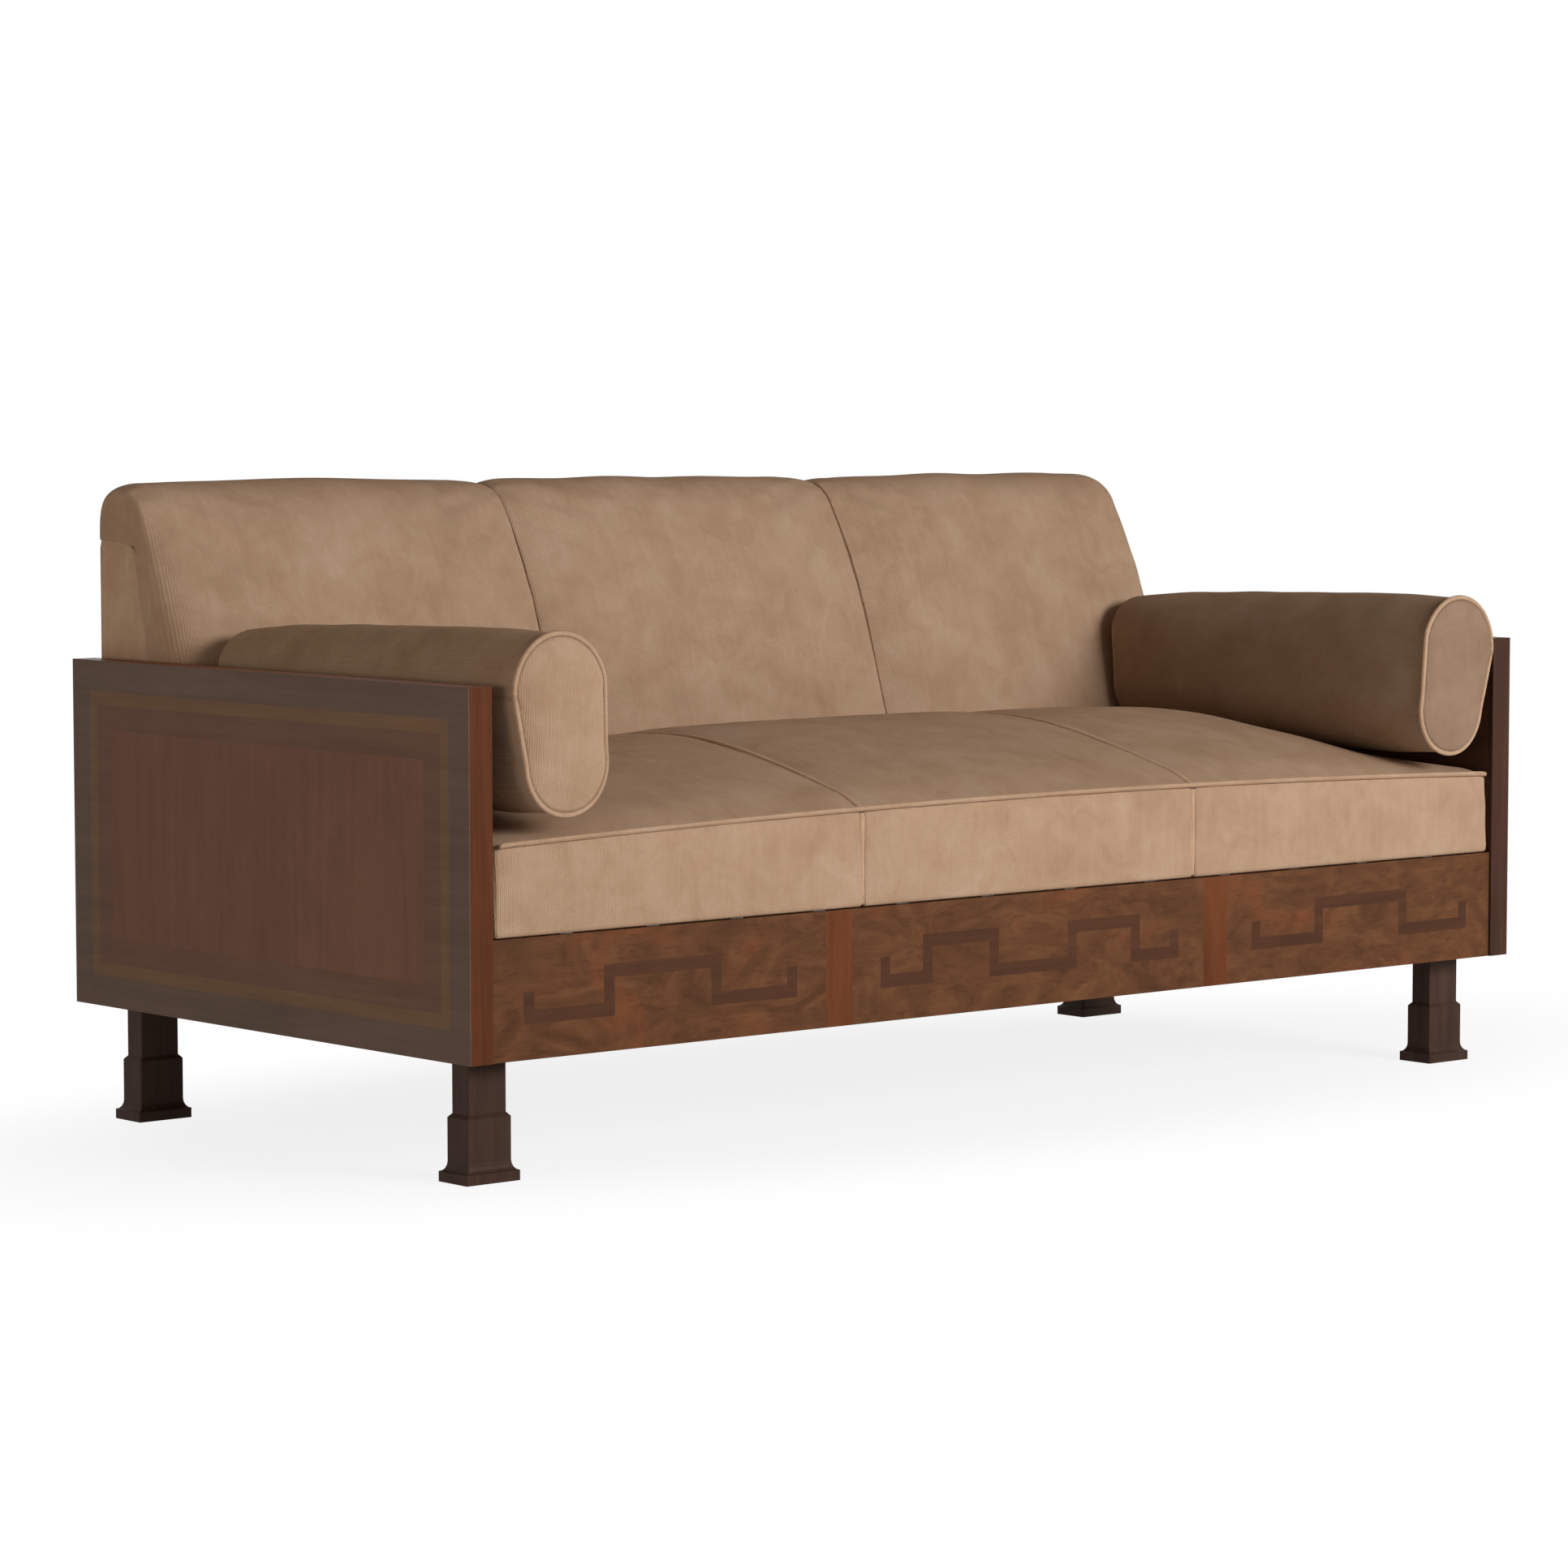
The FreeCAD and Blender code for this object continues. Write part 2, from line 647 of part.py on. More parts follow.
def seat_section(x, inset, base):
    """Closed outline of the seat at a place along X, over a base height, or the spring arch for None."""
    radius, centre_z = seat_circle(x, inset)
    front = seat_front_y + inset
    rear_inset = inset / math.cos(math.radians(back_lean))
    front_top = Vector(x, front, centre_z + math.sqrt(radius ** 2 - (front - seat_crest_y) ** 2))
    crest = Vector(x, seat_crest_y, centre_z + radius)
    rear_top = seat_rear_top(x, inset)
    if base is None:
        rear_y_base = seat_rear_base - rear_inset
        front_base = arch_point(filling_bed_radius, front, x)
        rear_base = arch_point(filling_bed_radius, rear_y_base, x)
        bottom = arc(rear_base, arch_point(filling_bed_radius, arch_y, x), front_base)
    else:
        rear_y_base = seat_rear_base - rear_inset + (base - seat_base_z) * back_slope
        front_base = Vector(x, front, base)
        rear_base = Vector(x, rear_y_base, base)
        bottom = line(rear_base, front_base)
    return Part.Wire([
        line(front_base, front_top),
        arc(front_top, crest, rear_top),
        line(rear_top, rear_base),
        bottom,
    ])


def seat_stations():
    """Places along X, with how far the seams draw the surface in there."""
    right = [(0.0, 0.0), (seam_x / 2, 0.0), (seam_x - seam_half_width, 0.0), (seam_x, seam_depth),
             (seam_x + seam_half_width, 0.0), (seat_flat_half, 0.0)]
    fall_steps = 8
    for i in range(1, fall_steps + 1):
        right.append((seat_flat_half + (seat_end_x - seat_flat_half) * i / fall_steps, 0.0))
    return [(-x, depth) for x, depth in reversed(right[1:])] + right


def seat_form(inset, base, end_inset):
    """The whole seat as one loft, set in by a thickness."""
    outlines = []
    last_x = seat_end_x - end_inset
    for x, depth in seat_stations():
        place = max(-last_x, min(last_x, x))
        outlines.append(seat_section(place, inset + depth, base))
    return loft(outlines)


def make_seat():
    """The cover in three sewn sections, the filling under it, the front welt and the seam welts."""
    outer = seat_form(0, seat_base_z, 0)
    hollow = seat_form(cover_thickness, seat_base_z - cut_margin, cover_thickness)
    cover = outer.cut(hollow)
    half_gap = layer_clearance / 2
    cuts = [-seat_end_x - cut_margin, -seam_x, seam_x, seat_end_x + cut_margin]
    for name, x0, x1 in zip(("left", "centre", "right"), cuts, cuts[1:]):
        keep = box(x0 + half_gap, x1 - half_gap, front_y - cut_margin, rear_y, 0, back_height)
        put("seat_cover_" + name, cover.common(keep))
    filling_inset = cover_thickness + soft_clearance
    put("seat_filling", seat_form(filling_inset, None, filling_inset))
    offset = (welt_radius + layer_clearance) * math.sqrt(0.5)
    rings = []
    for x, depth in seat_stations():
        centre = Vector(x, seat_front_y - offset, seat_edge_z(x) + offset)
        rings.append(Part.Wire(Part.makeCircle(welt_radius, centre, Vector(1, 0, 0))))
    put("seat_front_welt", loft(rings))
    welts = []
    for sign in (-1, 1):
        x = sign * seam_x
        groove_slope = math.atan2(seam_depth, seam_half_width)
        lift = (seam_welt_radius + soft_clearance) / math.cos(groove_slope)
        radius, centre_z = seat_circle(x, seam_depth - lift)
        start_y = seat_front_y + welt_radius
        end_y = seat_rear_top(x, seam_depth).y - seam_welt_radius
        points = [Vector(x, y, centre_z + math.sqrt(radius ** 2 - (y - seat_crest_y) ** 2))
                  for y in (start_y, seat_crest_y, end_y)]
        path = Part.Wire(arc(*points))
        tangent = Vector(0, points[0].z - centre_z, seat_crest_y - points[0].y)
        ring = Part.Wire(Part.makeCircle(seam_welt_radius, points[0], tangent))
        welts.append(path.makePipeShell([ring], True, False))
    put("seat_seam_welts", *welts)


# Back form: a straight lower face, a rounded shoulder and a roll over the top rail
normal_step = 1 / math.cos(math.radians(rib_lean))
back_hessian_gap = webbing_thickness + layer_clearance
pad_plane_gap = (back_hessian_gap + hessian_thickness + soft_clearance) * normal_step
pad_notch_z = rib_top + layer_clearance
pad_base_z = rail_top + layer_clearance


def tangent_arc(start, direction, end):
    """An arc that leaves a point along a direction and ends at another point, in a plane of constant X."""
    chord = end - start
    normal = Vector(0, direction.z, -direction.y)
    radius = chord.dot(chord) / (2 * chord.dot(normal))
    centre = start + normal * radius
    middle = (start + end) * 0.5 - centre
    middle.normalize()
    return arc(start, centre + middle * abs(radius), end)


def pad_section(x, inset, base_inset, rear_inset, open_step):
    """Closed outline of one back section at a place along X, set in from its fullest form."""
    lean = Vector(0, math.sin(math.radians(back_lean)), math.cos(math.radians(back_lean)))
    base_z = pad_base_z + rear_inset
    straight_z = rail_top + back_straight_height
    crest = Vector(x, back_face_y - back_roll_rear, back_height - inset)
    shoulder_z = back_height - back_roll_drop - inset * shoulder_share
    shoulder = Vector(x, crest.y - back_roll_front + inset, shoulder_z)
    notch_z = pad_notch_z - open_step
    rear = Vector(x, back_face_y - rear_inset, pad_notch_z + cut_margin)
    front_base = Vector(x, back_front_y(base_z) + base_inset, base_z)
    straight = Vector(x, back_front_y(straight_z) + inset, straight_z)
    notch_rear = Vector(x, rear.y, notch_z)
    notch_inner = Vector(x, rib_y(notch_z) - pad_plane_gap + open_step, notch_z)
    rear_base = Vector(x, rib_y(base_z) - pad_plane_gap + open_step, base_z)
    return Part.Wire([
        line(rear_base, front_base),
        line(front_base, straight),
        tangent_arc(straight, lean, shoulder),
        tangent_arc(crest, Vector(0, -1, 0), shoulder),
        tangent_arc(crest, Vector(0, 1, 0), rear),
        line(rear, notch_rear),
        line(notch_rear, notch_inner),
        line(notch_inner, rear_base),
    ])


def edge_stations(half, radius, draw, base_draw):
    """Distances from a section's middle to one rounded side, each with its draw above and at the base."""
    edge_steps = 4
    face_steps = 3
    stations = []
    for i in range(edge_steps + 1):
        turn = math.radians(90.0 * i / edge_steps)
        share = 1 - math.sin(turn)
        stations.append((half - radius * (1 - math.cos(turn)), draw * share, base_draw * share))
    for i in range(1, face_steps):
        stations.append(((half - radius) * (1 - i / face_steps), 0.0, 0.0))
    return stations


def pad_form(x0, x1, inset, open_step):
    """One back section between two places along X: crowned, with rounded sides, rounder at the ends."""
    middle = (x0 + x1) / 2
    half = (x1 - x0) / 2
    seam_side = edge_stations(half, back_edge_radius, back_edge_draw, back_edge_draw)
    end_side = edge_stations(half, back_end_radius, back_end_draw, back_end_base_draw)
    left = end_side if x0 < -seam_x else seam_side
    right = end_side if x1 > seam_x else seam_side
    stations = [(-distance, draw, base_draw) for distance, draw, base_draw in left]
    stations = stations + [(0.0, 0.0, 0.0)] + list(reversed(right))
    outlines = []
    for distance, draw, base_draw in stations:
        crown = inset + back_crown * (distance / half) ** 2
        reach = distance * (half - inset) / half
        outlines.append(pad_section(middle + reach, crown + draw, crown + base_draw, inset, open_step))
    return loft(outlines)


def make_back_padding():
    """Cover and filling of the three back sections."""
    back_end = inner_half - back_end_gap
    half_gap = back_section_gap / 2
    cuts = [-back_end, -seam_x, seam_x, back_end]
    filling_inset = cover_thickness + soft_clearance
    fillings = []
    for name, a, b in zip(("left", "centre", "right"), cuts, cuts[1:]):
        x0 = a + half_gap
        x1 = b - half_gap
        put("back_cover_" + name, pad_form(x0, x1, 0, 0).cut(pad_form(x0, x1, cover_thickness, cut_margin)))
        fillings.append(pad_form(x0, x1, filling_inset, 0))
    put("back_fillings", *fillings)


def sloped_sheet(z0, z1, gap, thickness, half_x):
    """A flat sheet lying on the ribs' sloped front edges, a gap away from them."""
    near = gap * normal_step
    far = (gap + thickness) * normal_step
    profile = [(rib_y(z0) - near, z0), (rib_y(z1) - near, z1), (rib_y(z1) - far, z1), (rib_y(z0) - far, z0)]
    return prism(profile, -half_x, half_x)


def make_back_cloths():
    """Webbing and hessian on the ribs, the outside back, the end covers and the dust cover."""
    half_x = end_rib_x + rib_thickness / 2
    first_z = rail_top + tuck_rail_rise
    last_z = rib_top - webbing_width
    straps = []
    for i in range(webbing_count):
        z0 = first_z + (last_z - first_z) * i / (webbing_count - 1)
        straps.append(sloped_sheet(z0, z0 + webbing_width, fit_clearance, webbing_thickness, half_x))
    put("back_webbing", *straps)
    put("back_hessian", sloped_sheet(first_z, rib_top, back_hessian_gap, hessian_thickness, half_x))
    put("outside_back", box(-half_x - cover_thickness, half_x + cover_thickness, back_plane_y, back_face_y,
                            rail_top, rib_top))
    profile = [(rib_front_base, rail_top), (rib_y(rib_top), rib_top),
               (back_plane_y, rib_top), (back_plane_y, rail_top)]
    end_cover = prism(profile, -half_x - cover_thickness, -half_x)
    put("back_end_covers", end_cover, mirrored(end_cover))
    sheet = box(-inner_half + dust_cover_margin, inner_half - dust_cover_margin,
                rail_core_front + dust_cover_margin, back_face_y - dust_cover_margin,
                leg_height - dust_cover_thickness, leg_height)
    for sign in (-1, 1):
        for y in (leg_front_y, leg_rear_y):
            sheet = sheet.cut(box(sign * leg_x - leg_shaft_x / 2 - pad_clearance,
                                  sign * leg_x + leg_shaft_x / 2 + pad_clearance,
                                  y - leg_shaft_y / 2 - pad_clearance, y + leg_shaft_y / 2 + pad_clearance,
                                  leg_height - cut_margin, leg_height + cut_margin))
    put("dust_cover", sheet)


# Bolster form: an egg section, larger at the top, tilted outward and drawn out along Y
egg_top_centre = bolster_height / 2 - bolster_top_radius
egg_bottom_centre = bolster_bottom_radius - bolster_height / 2
egg_taper = math.asin((bolster_top_radius - bolster_bottom_radius) / (egg_top_centre - egg_bottom_centre))
bolster_x = inner_half - bolster_centre_inset


def egg_point(angle, centre, radius, inset):
    """A point of the tilted egg section, as a step along X and Z from its middle."""
    u = (radius - inset) * math.cos(angle)
    w = centre + (radius - inset) * math.sin(angle)
    tilt = math.radians(bolster_tilt)
    return u * math.cos(tilt) + w * math.sin(tilt), w * math.cos(tilt) - u * math.sin(tilt)


def seat_height_near(x):
    """Height of the lofted seat's crest, straight between its sections."""
    stations = [place for place, depth in seat_stations()]
    for a, b in zip(stations, stations[1:]):
        if a <= x <= b:
            share = (x - a) / (b - a)
            za = seat_edge_z(a) + seat_crown_at(a)
            zb = seat_edge_z(b) + seat_crown_at(b)
            return za + (zb - za) * share
    return seat_edge_z(x)


def bolster_rest_z():
    """Height of the bolster's middle when its underside just clears the seat's crest."""
    heights = []
    samples = 90
    for i in range(samples + 1):
        angle = math.pi + math.pi * i / samples
        u, w = egg_point(angle, egg_bottom_centre, bolster_bottom_radius, 0)
        heights.append(seat_height_near(bolster_x + u) - w)
    return max(heights) + soft_clearance


bolster_z = bolster_rest_z()
bolster_front_y = front_y - bolster_overhang
bolster_rear_y = back_front_y(bolster_z) - pad_clearance


def egg_outline(y, inset, lean):
    """Closed outline of the right bolster at a place along Y, leaning back by an angle."""
    def at(angle, centre, radius):
        u, w = egg_point(angle, centre, radius, inset)
        return Vector(bolster_x + u, y, bolster_z + w)
    top = (egg_top_centre, bolster_top_radius)
    low = (egg_bottom_centre, bolster_bottom_radius)
    right = egg_taper
    left = math.pi - egg_taper
    down = -math.pi / 2
    half_right = (right + down) / 2
    half_left = (left + down + 2 * math.pi) / 2
    outline = Part.Wire([
        arc(at(right, *top), at(math.pi / 2, *top), at(left, *top)),
        line(at(left, *top), at(left, *low)),
        arc(at(left, *low), at(half_left, *low), at(down, *low)),
        arc(at(down, *low), at(half_right, *low), at(right, *low)),
        line(at(right, *low), at(right, *top)),
    ])
    outline.rotate(Vector(bolster_x, y, bolster_z), Vector(1, 0, 0), -lean)
    return outline


def cap_steps(bulge):
    """Depth and draw of the sections from a cap's middle, over its seam, to the full body."""
    count = 4
    steps = []
    for i in range(count, -1, -1):
        turn = math.radians(90.0 * i / count)
        draw = bolster_end_draw + (bolster_cap_inset - bolster_end_draw) * (1 - math.cos(turn))
        steps.append((bulge * (1 - math.sin(turn)), draw))
    steps.append((bulge + bolster_end_fade, 0))
    return steps


def bolster_form(inset):
    """The bolster as one loft: caps drawn in at their seams, the rear one flatter and leaning with the back."""
    front = bolster_front_y + inset
    rear = bolster_rear_y - inset
    outlines = [egg_outline(front + depth, inset + draw, 0) for depth, draw in cap_steps(bolster_cap_bulge)]
    outlines.append(egg_outline(seat_crest_y, inset, 0))
    for depth, draw in reversed(cap_steps(bolster_rear_bulge)):
        outlines.append(egg_outline(rear - depth, inset + draw, back_lean))
    return loft(outlines)


def make_bolsters():
    """Cover, filling and the two end welts of each bolster."""
    cover = bolster_form(0).cut(bolster_form(cover_thickness))
    filling = bolster_form(cover_thickness + soft_clearance)
    welts = []
    for y, lean in ((bolster_front_y + bolster_cap_bulge, 0),
                    (bolster_rear_y - bolster_rear_bulge, back_lean)):
        path = egg_outline(y, bolster_end_draw - welt_radius - soft_clearance, lean)
        start = path.Vertexes[0].Point
        tangent = path.Edges[0].tangentAt(path.Edges[0].FirstParameter)
        ring = Part.Wire(Part.makeCircle(welt_radius, start, tangent))
        welts.append(path.makePipeShell([ring], True, False))
    for name, shapes in (("cover", [cover]), ("filling", [filling]), ("welts", welts)):
        put("right_bolster_" + name, *shapes)
        put("left_bolster_" + name, *[mirrored(shape) for shape in shapes])


def put_boards():
    """Keep the finished boards. Boards of one kind inside the frame share a sub-part."""
    sets = {
        "cross_bars": ("left_cross_bar", "right_cross_bar"),
        "spring_rails": ("left_spring_rail", "centre_spring_rail", "right_spring_rail"),
        "back_end_ribs": ("left_end_rib", "right_end_rib"),
        "back_middle_ribs": ("left_middle_rib", "right_middle_rib"),
    }
    for name, members in sets.items():
        put(name, *[boards.pop(member) for member in members])
    for name, shape in boards.items():
        put(name, shape)


def export():
    """Write each sub-part to its own file."""
    os.makedirs("parts", exist_ok=True)
    for name, shape in parts.items():
        shape.exportStep("parts/" + name + ".step")


make_side_panels()
make_front_rail()
make_seat_frame()
make_back_frame()
make_dowels()
make_corner_blocks()
make_legs()
make_panel_bolts()
make_springs()
make_seat_hessian()
make_seat()
make_back_padding()
make_back_cloths()
make_bolsters()
put_boards()
export()
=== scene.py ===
"""Looks for the art deco sofa: velvet seat, back and bolsters with piped seams over a frame of polished
and inlaid woods, on a pale floor under soft studio light.

Metres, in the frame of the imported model: X runs along the sofa, -Y is its front and +Z is up.
"""
import json
import math

import bpy
import numpy as np
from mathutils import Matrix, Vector


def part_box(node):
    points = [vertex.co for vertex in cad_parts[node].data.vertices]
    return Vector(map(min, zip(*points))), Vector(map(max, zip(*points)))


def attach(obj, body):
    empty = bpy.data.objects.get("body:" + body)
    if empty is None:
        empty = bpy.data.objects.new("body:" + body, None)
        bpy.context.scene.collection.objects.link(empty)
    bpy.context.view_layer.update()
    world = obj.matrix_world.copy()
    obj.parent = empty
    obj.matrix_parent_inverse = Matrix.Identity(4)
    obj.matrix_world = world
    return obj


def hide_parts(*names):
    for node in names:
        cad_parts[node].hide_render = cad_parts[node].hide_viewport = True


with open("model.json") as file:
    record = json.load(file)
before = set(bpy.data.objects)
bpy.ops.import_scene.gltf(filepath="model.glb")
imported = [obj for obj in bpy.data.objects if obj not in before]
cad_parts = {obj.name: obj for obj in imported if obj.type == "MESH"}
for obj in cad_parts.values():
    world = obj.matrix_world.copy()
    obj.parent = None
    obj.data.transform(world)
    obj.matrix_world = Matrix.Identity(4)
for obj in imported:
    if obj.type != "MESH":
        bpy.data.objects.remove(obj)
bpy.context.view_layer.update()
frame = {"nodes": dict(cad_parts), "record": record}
nodes = frame["nodes"]
scene = bpy.context.scene

# Sizes shared with the solids
rail_top = 0.309
seam_x = 0.3045
back_slope = math.tan(math.radians(17.1))
rib_slope = math.tan(math.radians(12.8))

# Seat form
seat_front = -0.426
seat_end = 0.9095
seat_base = 0.3094
seat_edge_height = 0.131
seat_droop = 0.016
seat_crown = 0.082
seat_end_crown = 0.003
seat_setback = 0.388
seat_flat_half = 0.480
seat_fall_power = 1.25
seat_crest = seat_front + seat_setback
seat_rear = 0.136
seat_corner_radius = 0.018
seat_corner_drop = 0.006
seat_roll = 0.050
seat_roll_rise = 0.007
seat_ramp = 0.70
seat_gap = 0.0002
seat_slack = 0.0015
seat_seam_dip = 0.0028
seat_end_dip = 0.003
seat_dip_reach = 0.040
boxing_dip = 0.45
seat_pucker, seat_pucker_reach, seat_pucker_size = 0.0007, 0.045, 0.034
seat_cloud, seat_cloud_size = 0.0009, 0.16
seat_rows = {"front": 16, "top": 64, "rear": 14, "base": 24}

# The seat's bulge beside the right bolster and its hollow near the left one: height, place and reach
seat_bulge, bulge_start, bulge_rise, bulge_end, bulge_fall = 0.013, 0.50, 0.19, 0.710, 0.055
seat_hollow, hollow_x, hollow_reach = 0.006, -0.50, 0.18

# Back form
back_front = 0.137
back_face = 0.452
back_top = 0.860
back_straight = 0.635
back_roll_rear = 0.058
back_roll_front = 0.072
back_roll_drop = 0.044
back_crown = 0.005
back_notch = 0.7802
back_lip = 0.005
pad_plane = 0.2598
back_end = 0.911
back_gap = 0.0003
back_slack = 0.002
back_roll_power = 3.2
back_fullness = 0.008
back_pivot = np.array([0.36, 0.60])
back_pucker, back_pucker_reach, back_pucker_size = 0.0009, 0.060, 0.052
back_cloud, back_cloud_size = 0.0016, 0.21
back_columns, edge_columns = 56, 9
back_rows = {"face": 36, "shoulder": 20, "over": 10, "roll": 14, "notch": 9, "rear": 36, "base": 13}

# A rounded side of a back section: its width, and the draw of the face, the foot, the crest and the rear
seam_edge = (0.050, 0.015, 0.010, 0.0105, 0.0)
left_end_edge = (0.052, 0.056, 0.024, 0.018, 0.004)
right_end_edge = (0.056, 0.056, 0.024, 0.036, 0.004)

# Bolster form
bolster_x = 0.815
bolster_half_height = 0.118
bolster_top_radius = 0.077
bolster_low_radius = 0.068
bolster_bulge = 0.012
bolster_rear_bulge = 0.005
bolster_draw = 0.006
bolster_sag = 0.003
bolster_fade = 0.112
bolster_lean = 0.50
bolster_rear_drop = 0.020
bolster_lift = 0.002
bolster_slack = 0.001
bolster_rest, bolster_rest_reach = 0.09, 0.05
bolster_cloud, bolster_cloud_size = 0.0011, 0.12
bolster_around, bolster_rings, cap_rings, arc_points = 84, 76, 12, 200
front_welt_size, rear_welt_size = 1 + 0.0012 / 0.07, 1 - 0.0040 / 0.07

# Each bolster: side, sign of X, outward tilt in degrees, and the painted shade of its side and of its front
# cap: darker copies of the velvet for how the light falls on them
bolsters = (("left", -1, 6.5, 0.94, 1.0), ("right", 1, 10.5, 0.85, 0.83))

# Sewing
welt_radius = 0.0036
welt_sides = 10
front_welt_inset, front_welt_out, front_welt_up, front_welt_rings = 0.007, 0.0008, 0.0012, 260
seam_welt_radius, seam_welt_depth = 0.0066, 0.0062
seam_welt_start, seam_welt_end, seam_welt_rings = 0.006, 0.008, 90
boxing_welt_depth, boxing_welt_inset, boxing_welt_rings = 0.0086, 0.004, 24
cell = 0.009
hair = 0.0004
cap_ladder = 5

# Covers: the outside back, the back's ends as steps of depth and size, and the lining underneath
cover_columns, cover_rows = 150, 50
cover_bow, cover_inset = 0.0016, 0.001
cover_cloud, cover_cloud_size = 0.0006, 0.24
end_cover_inset = 0.0042
end_cover_steps = ((0.0, 0.99), (0.0006, 0.997), (0.0012, 1.0), (0.003, 1.0))
lining_sag, lining_thickness = 0.004, 0.001
leg_step = 0.0135

# Pressure swelling: the cloth's settings, its steps, and how far a point may move
cloth_settings = {"quality": 4, "mass": 0.3, "tension_stiffness": 12.0, "compression_stiffness": 12.0,
                  "shear_stiffness": 4.0, "bending_stiffness": 0.4, "use_pressure": True,
                  "uniform_pressure_force": 4.0, "vertex_group_mass": "sewn"}
swell_steps = 14
pad_swell = 0.004
bolster_swell = 0.005

# Waves of the cloth
wave_count = 8
wave_peak = 1.6

# Finishes
wood_constants = {"Coat_Roughness": 0.30, "Specular_IOR_Level": 0.07}
velvet_constants = {"Sheen_Weight": 0.11, "Sheen_Roughness": 0.40, "Specular_IOR_Level": 0.03}
nap_tones = ((0.30, (171, 138, 111)), (0.50, (187, 155, 128)), (0.70, (199, 169, 144)))
pile_shadow = (128, 98, 78)
# Shades above 1 are painted light: lighter copies of the velvet, a painted highlight on the front piping and
# the seam cords and painted light on the back's end cloths.
piping_painted_highlight, seam_painted_highlight, end_painted_light = 1.05, 1.11, 1.10


def srgb(red, green, blue):
    """A colour written as it looks on screen, 0 to 255, turned into linear light."""
    parts = np.array([red, green, blue]) / 255.0
    linear = np.where(parts <= 0.04045, parts / 12.92, ((parts + 0.055) / 1.055) ** 2.4)
    return (*[float(part) for part in linear], 1.0)


class Value:
    """A shader socket that takes Python arithmetic. Each operation adds one Math node."""

    def __init__(self, finish, socket):
        self.finish = finish
        self.socket = socket

    def math(self, operation, *values):
        return self.finish.node("ShaderNodeMath", {"operation": operation}, dict(enumerate(values)))

    def __add__(self, other):
        return self.math("ADD", self, other)

    def __radd__(self, other):
        return self.math("ADD", other, self)

    def __rsub__(self, other):
        return self.math("SUBTRACT", other, self)

    def __mul__(self, other):
        return self.math("MULTIPLY", self, other)

    def __rmul__(self, other):
        return self.math("MULTIPLY", other, self)

    def __truediv__(self, other):
        return self.math("DIVIDE", self, other)

    def band(self, low, high):
        """0 below low, 1 above high, smooth between."""
        settings = {"interpolation_type": "SMOOTHSTEP"}
        values = {"Value": self, "From Min": low, "From Max": high, "To Min": 0.0, "To Max": 1.0}
        return self.finish.node("ShaderNodeMapRange", settings, values)


class Finish:
    """One material and the nodes that make it."""

    def __init__(self, name):
        self.material = bpy.data.materials.new(name)
        self.material.use_nodes = True
        self.tree = self.material.node_tree
        self.shader = self.tree.nodes["Principled BSDF"]

    def node(self, kind, settings=None, values=None, out=0):
        """Any node: its settings first, then the values or links of its sockets."""
        node = self.tree.nodes.new(kind)
        for name, setting in (settings or {}).items():
            if name == "stops":
                ramp = node.color_ramp.elements
                while len(ramp) < len(setting):
                    ramp.new(0.5)
                for element, (place, colour) in zip(ramp, setting):
                    element.position = place
                    element.color = colour
            else:
                setattr(node, name, setting)
        for name, value in (values or {}).items():
            self.feed(node.inputs[name], value)
        return Value(self, node.outputs[out])

    def feed(self, socket, value):
        if isinstance(value, Value):
            self.tree.links.new(value.socket, socket)
        else:
            socket.default_value = value

    def place(self, scale=(1, 1, 1), turn=(0, 0, 0), shift=(0, 0, 0), source="Object"):
        """Object or UV coordinates, moved, turned and scaled."""
        coordinates = self.node("ShaderNodeTexCoord", out=source)
        values = {"Vector": coordinates, "Location": shift, "Rotation": turn, "Scale": scale}
        return self.node("ShaderNodeMapping", None, values)

    def noise(self, vector, scale, detail=3.0, roughness=0.5, distortion=0.0):
        values = {"Vector": vector, "Scale": scale, "Detail": detail, "Roughness": roughness,
                  "Distortion": distortion}
        return self.node("ShaderNodeTexNoise", {"noise_dimensions": "3D"}, values)

    def ribs(self, vector, axis, count, distortion, detail, detail_scale=1.0):
        """Parallel threads across one axis."""
        values = {"Vector": vector, "Scale": count, "Distortion": distortion, "Detail": detail,
                  "Detail Scale": detail_scale}
        return self.node("ShaderNodeTexWave", {"bands_direction": axis}, values, out=1)

    def ramp(self, value, stops):
        return self.node("ShaderNodeValToRGB", {"stops": stops}, {"Fac": value})

    def mix(self, share, first, second, blend="MIX"):
        settings = {"data_type": "RGBA", "blend_type": blend}
        return self.node("ShaderNodeMix", settings, {0: share, 6: first, 7: second}, out=2)

    def bump(self, height, distance, strength=1.0):
        values = {"Height": height, "Distance": distance, "Strength": strength}
        return self.node("ShaderNodeBump", None, values)

    def finish(self, **values):
        """Set the shader's sockets by name, with underscores for spaces."""
        for name, value in values.items():
            self.feed(self.shader.inputs[name.replace("_", " ")], value)
        return self.material


def nap_colours(shade):
    """Colour stops of the velvet's nap, from brushed down to brushed up."""
    return [(place, srgb(*[part * shade for part in tone])) for place, tone in nap_tones]


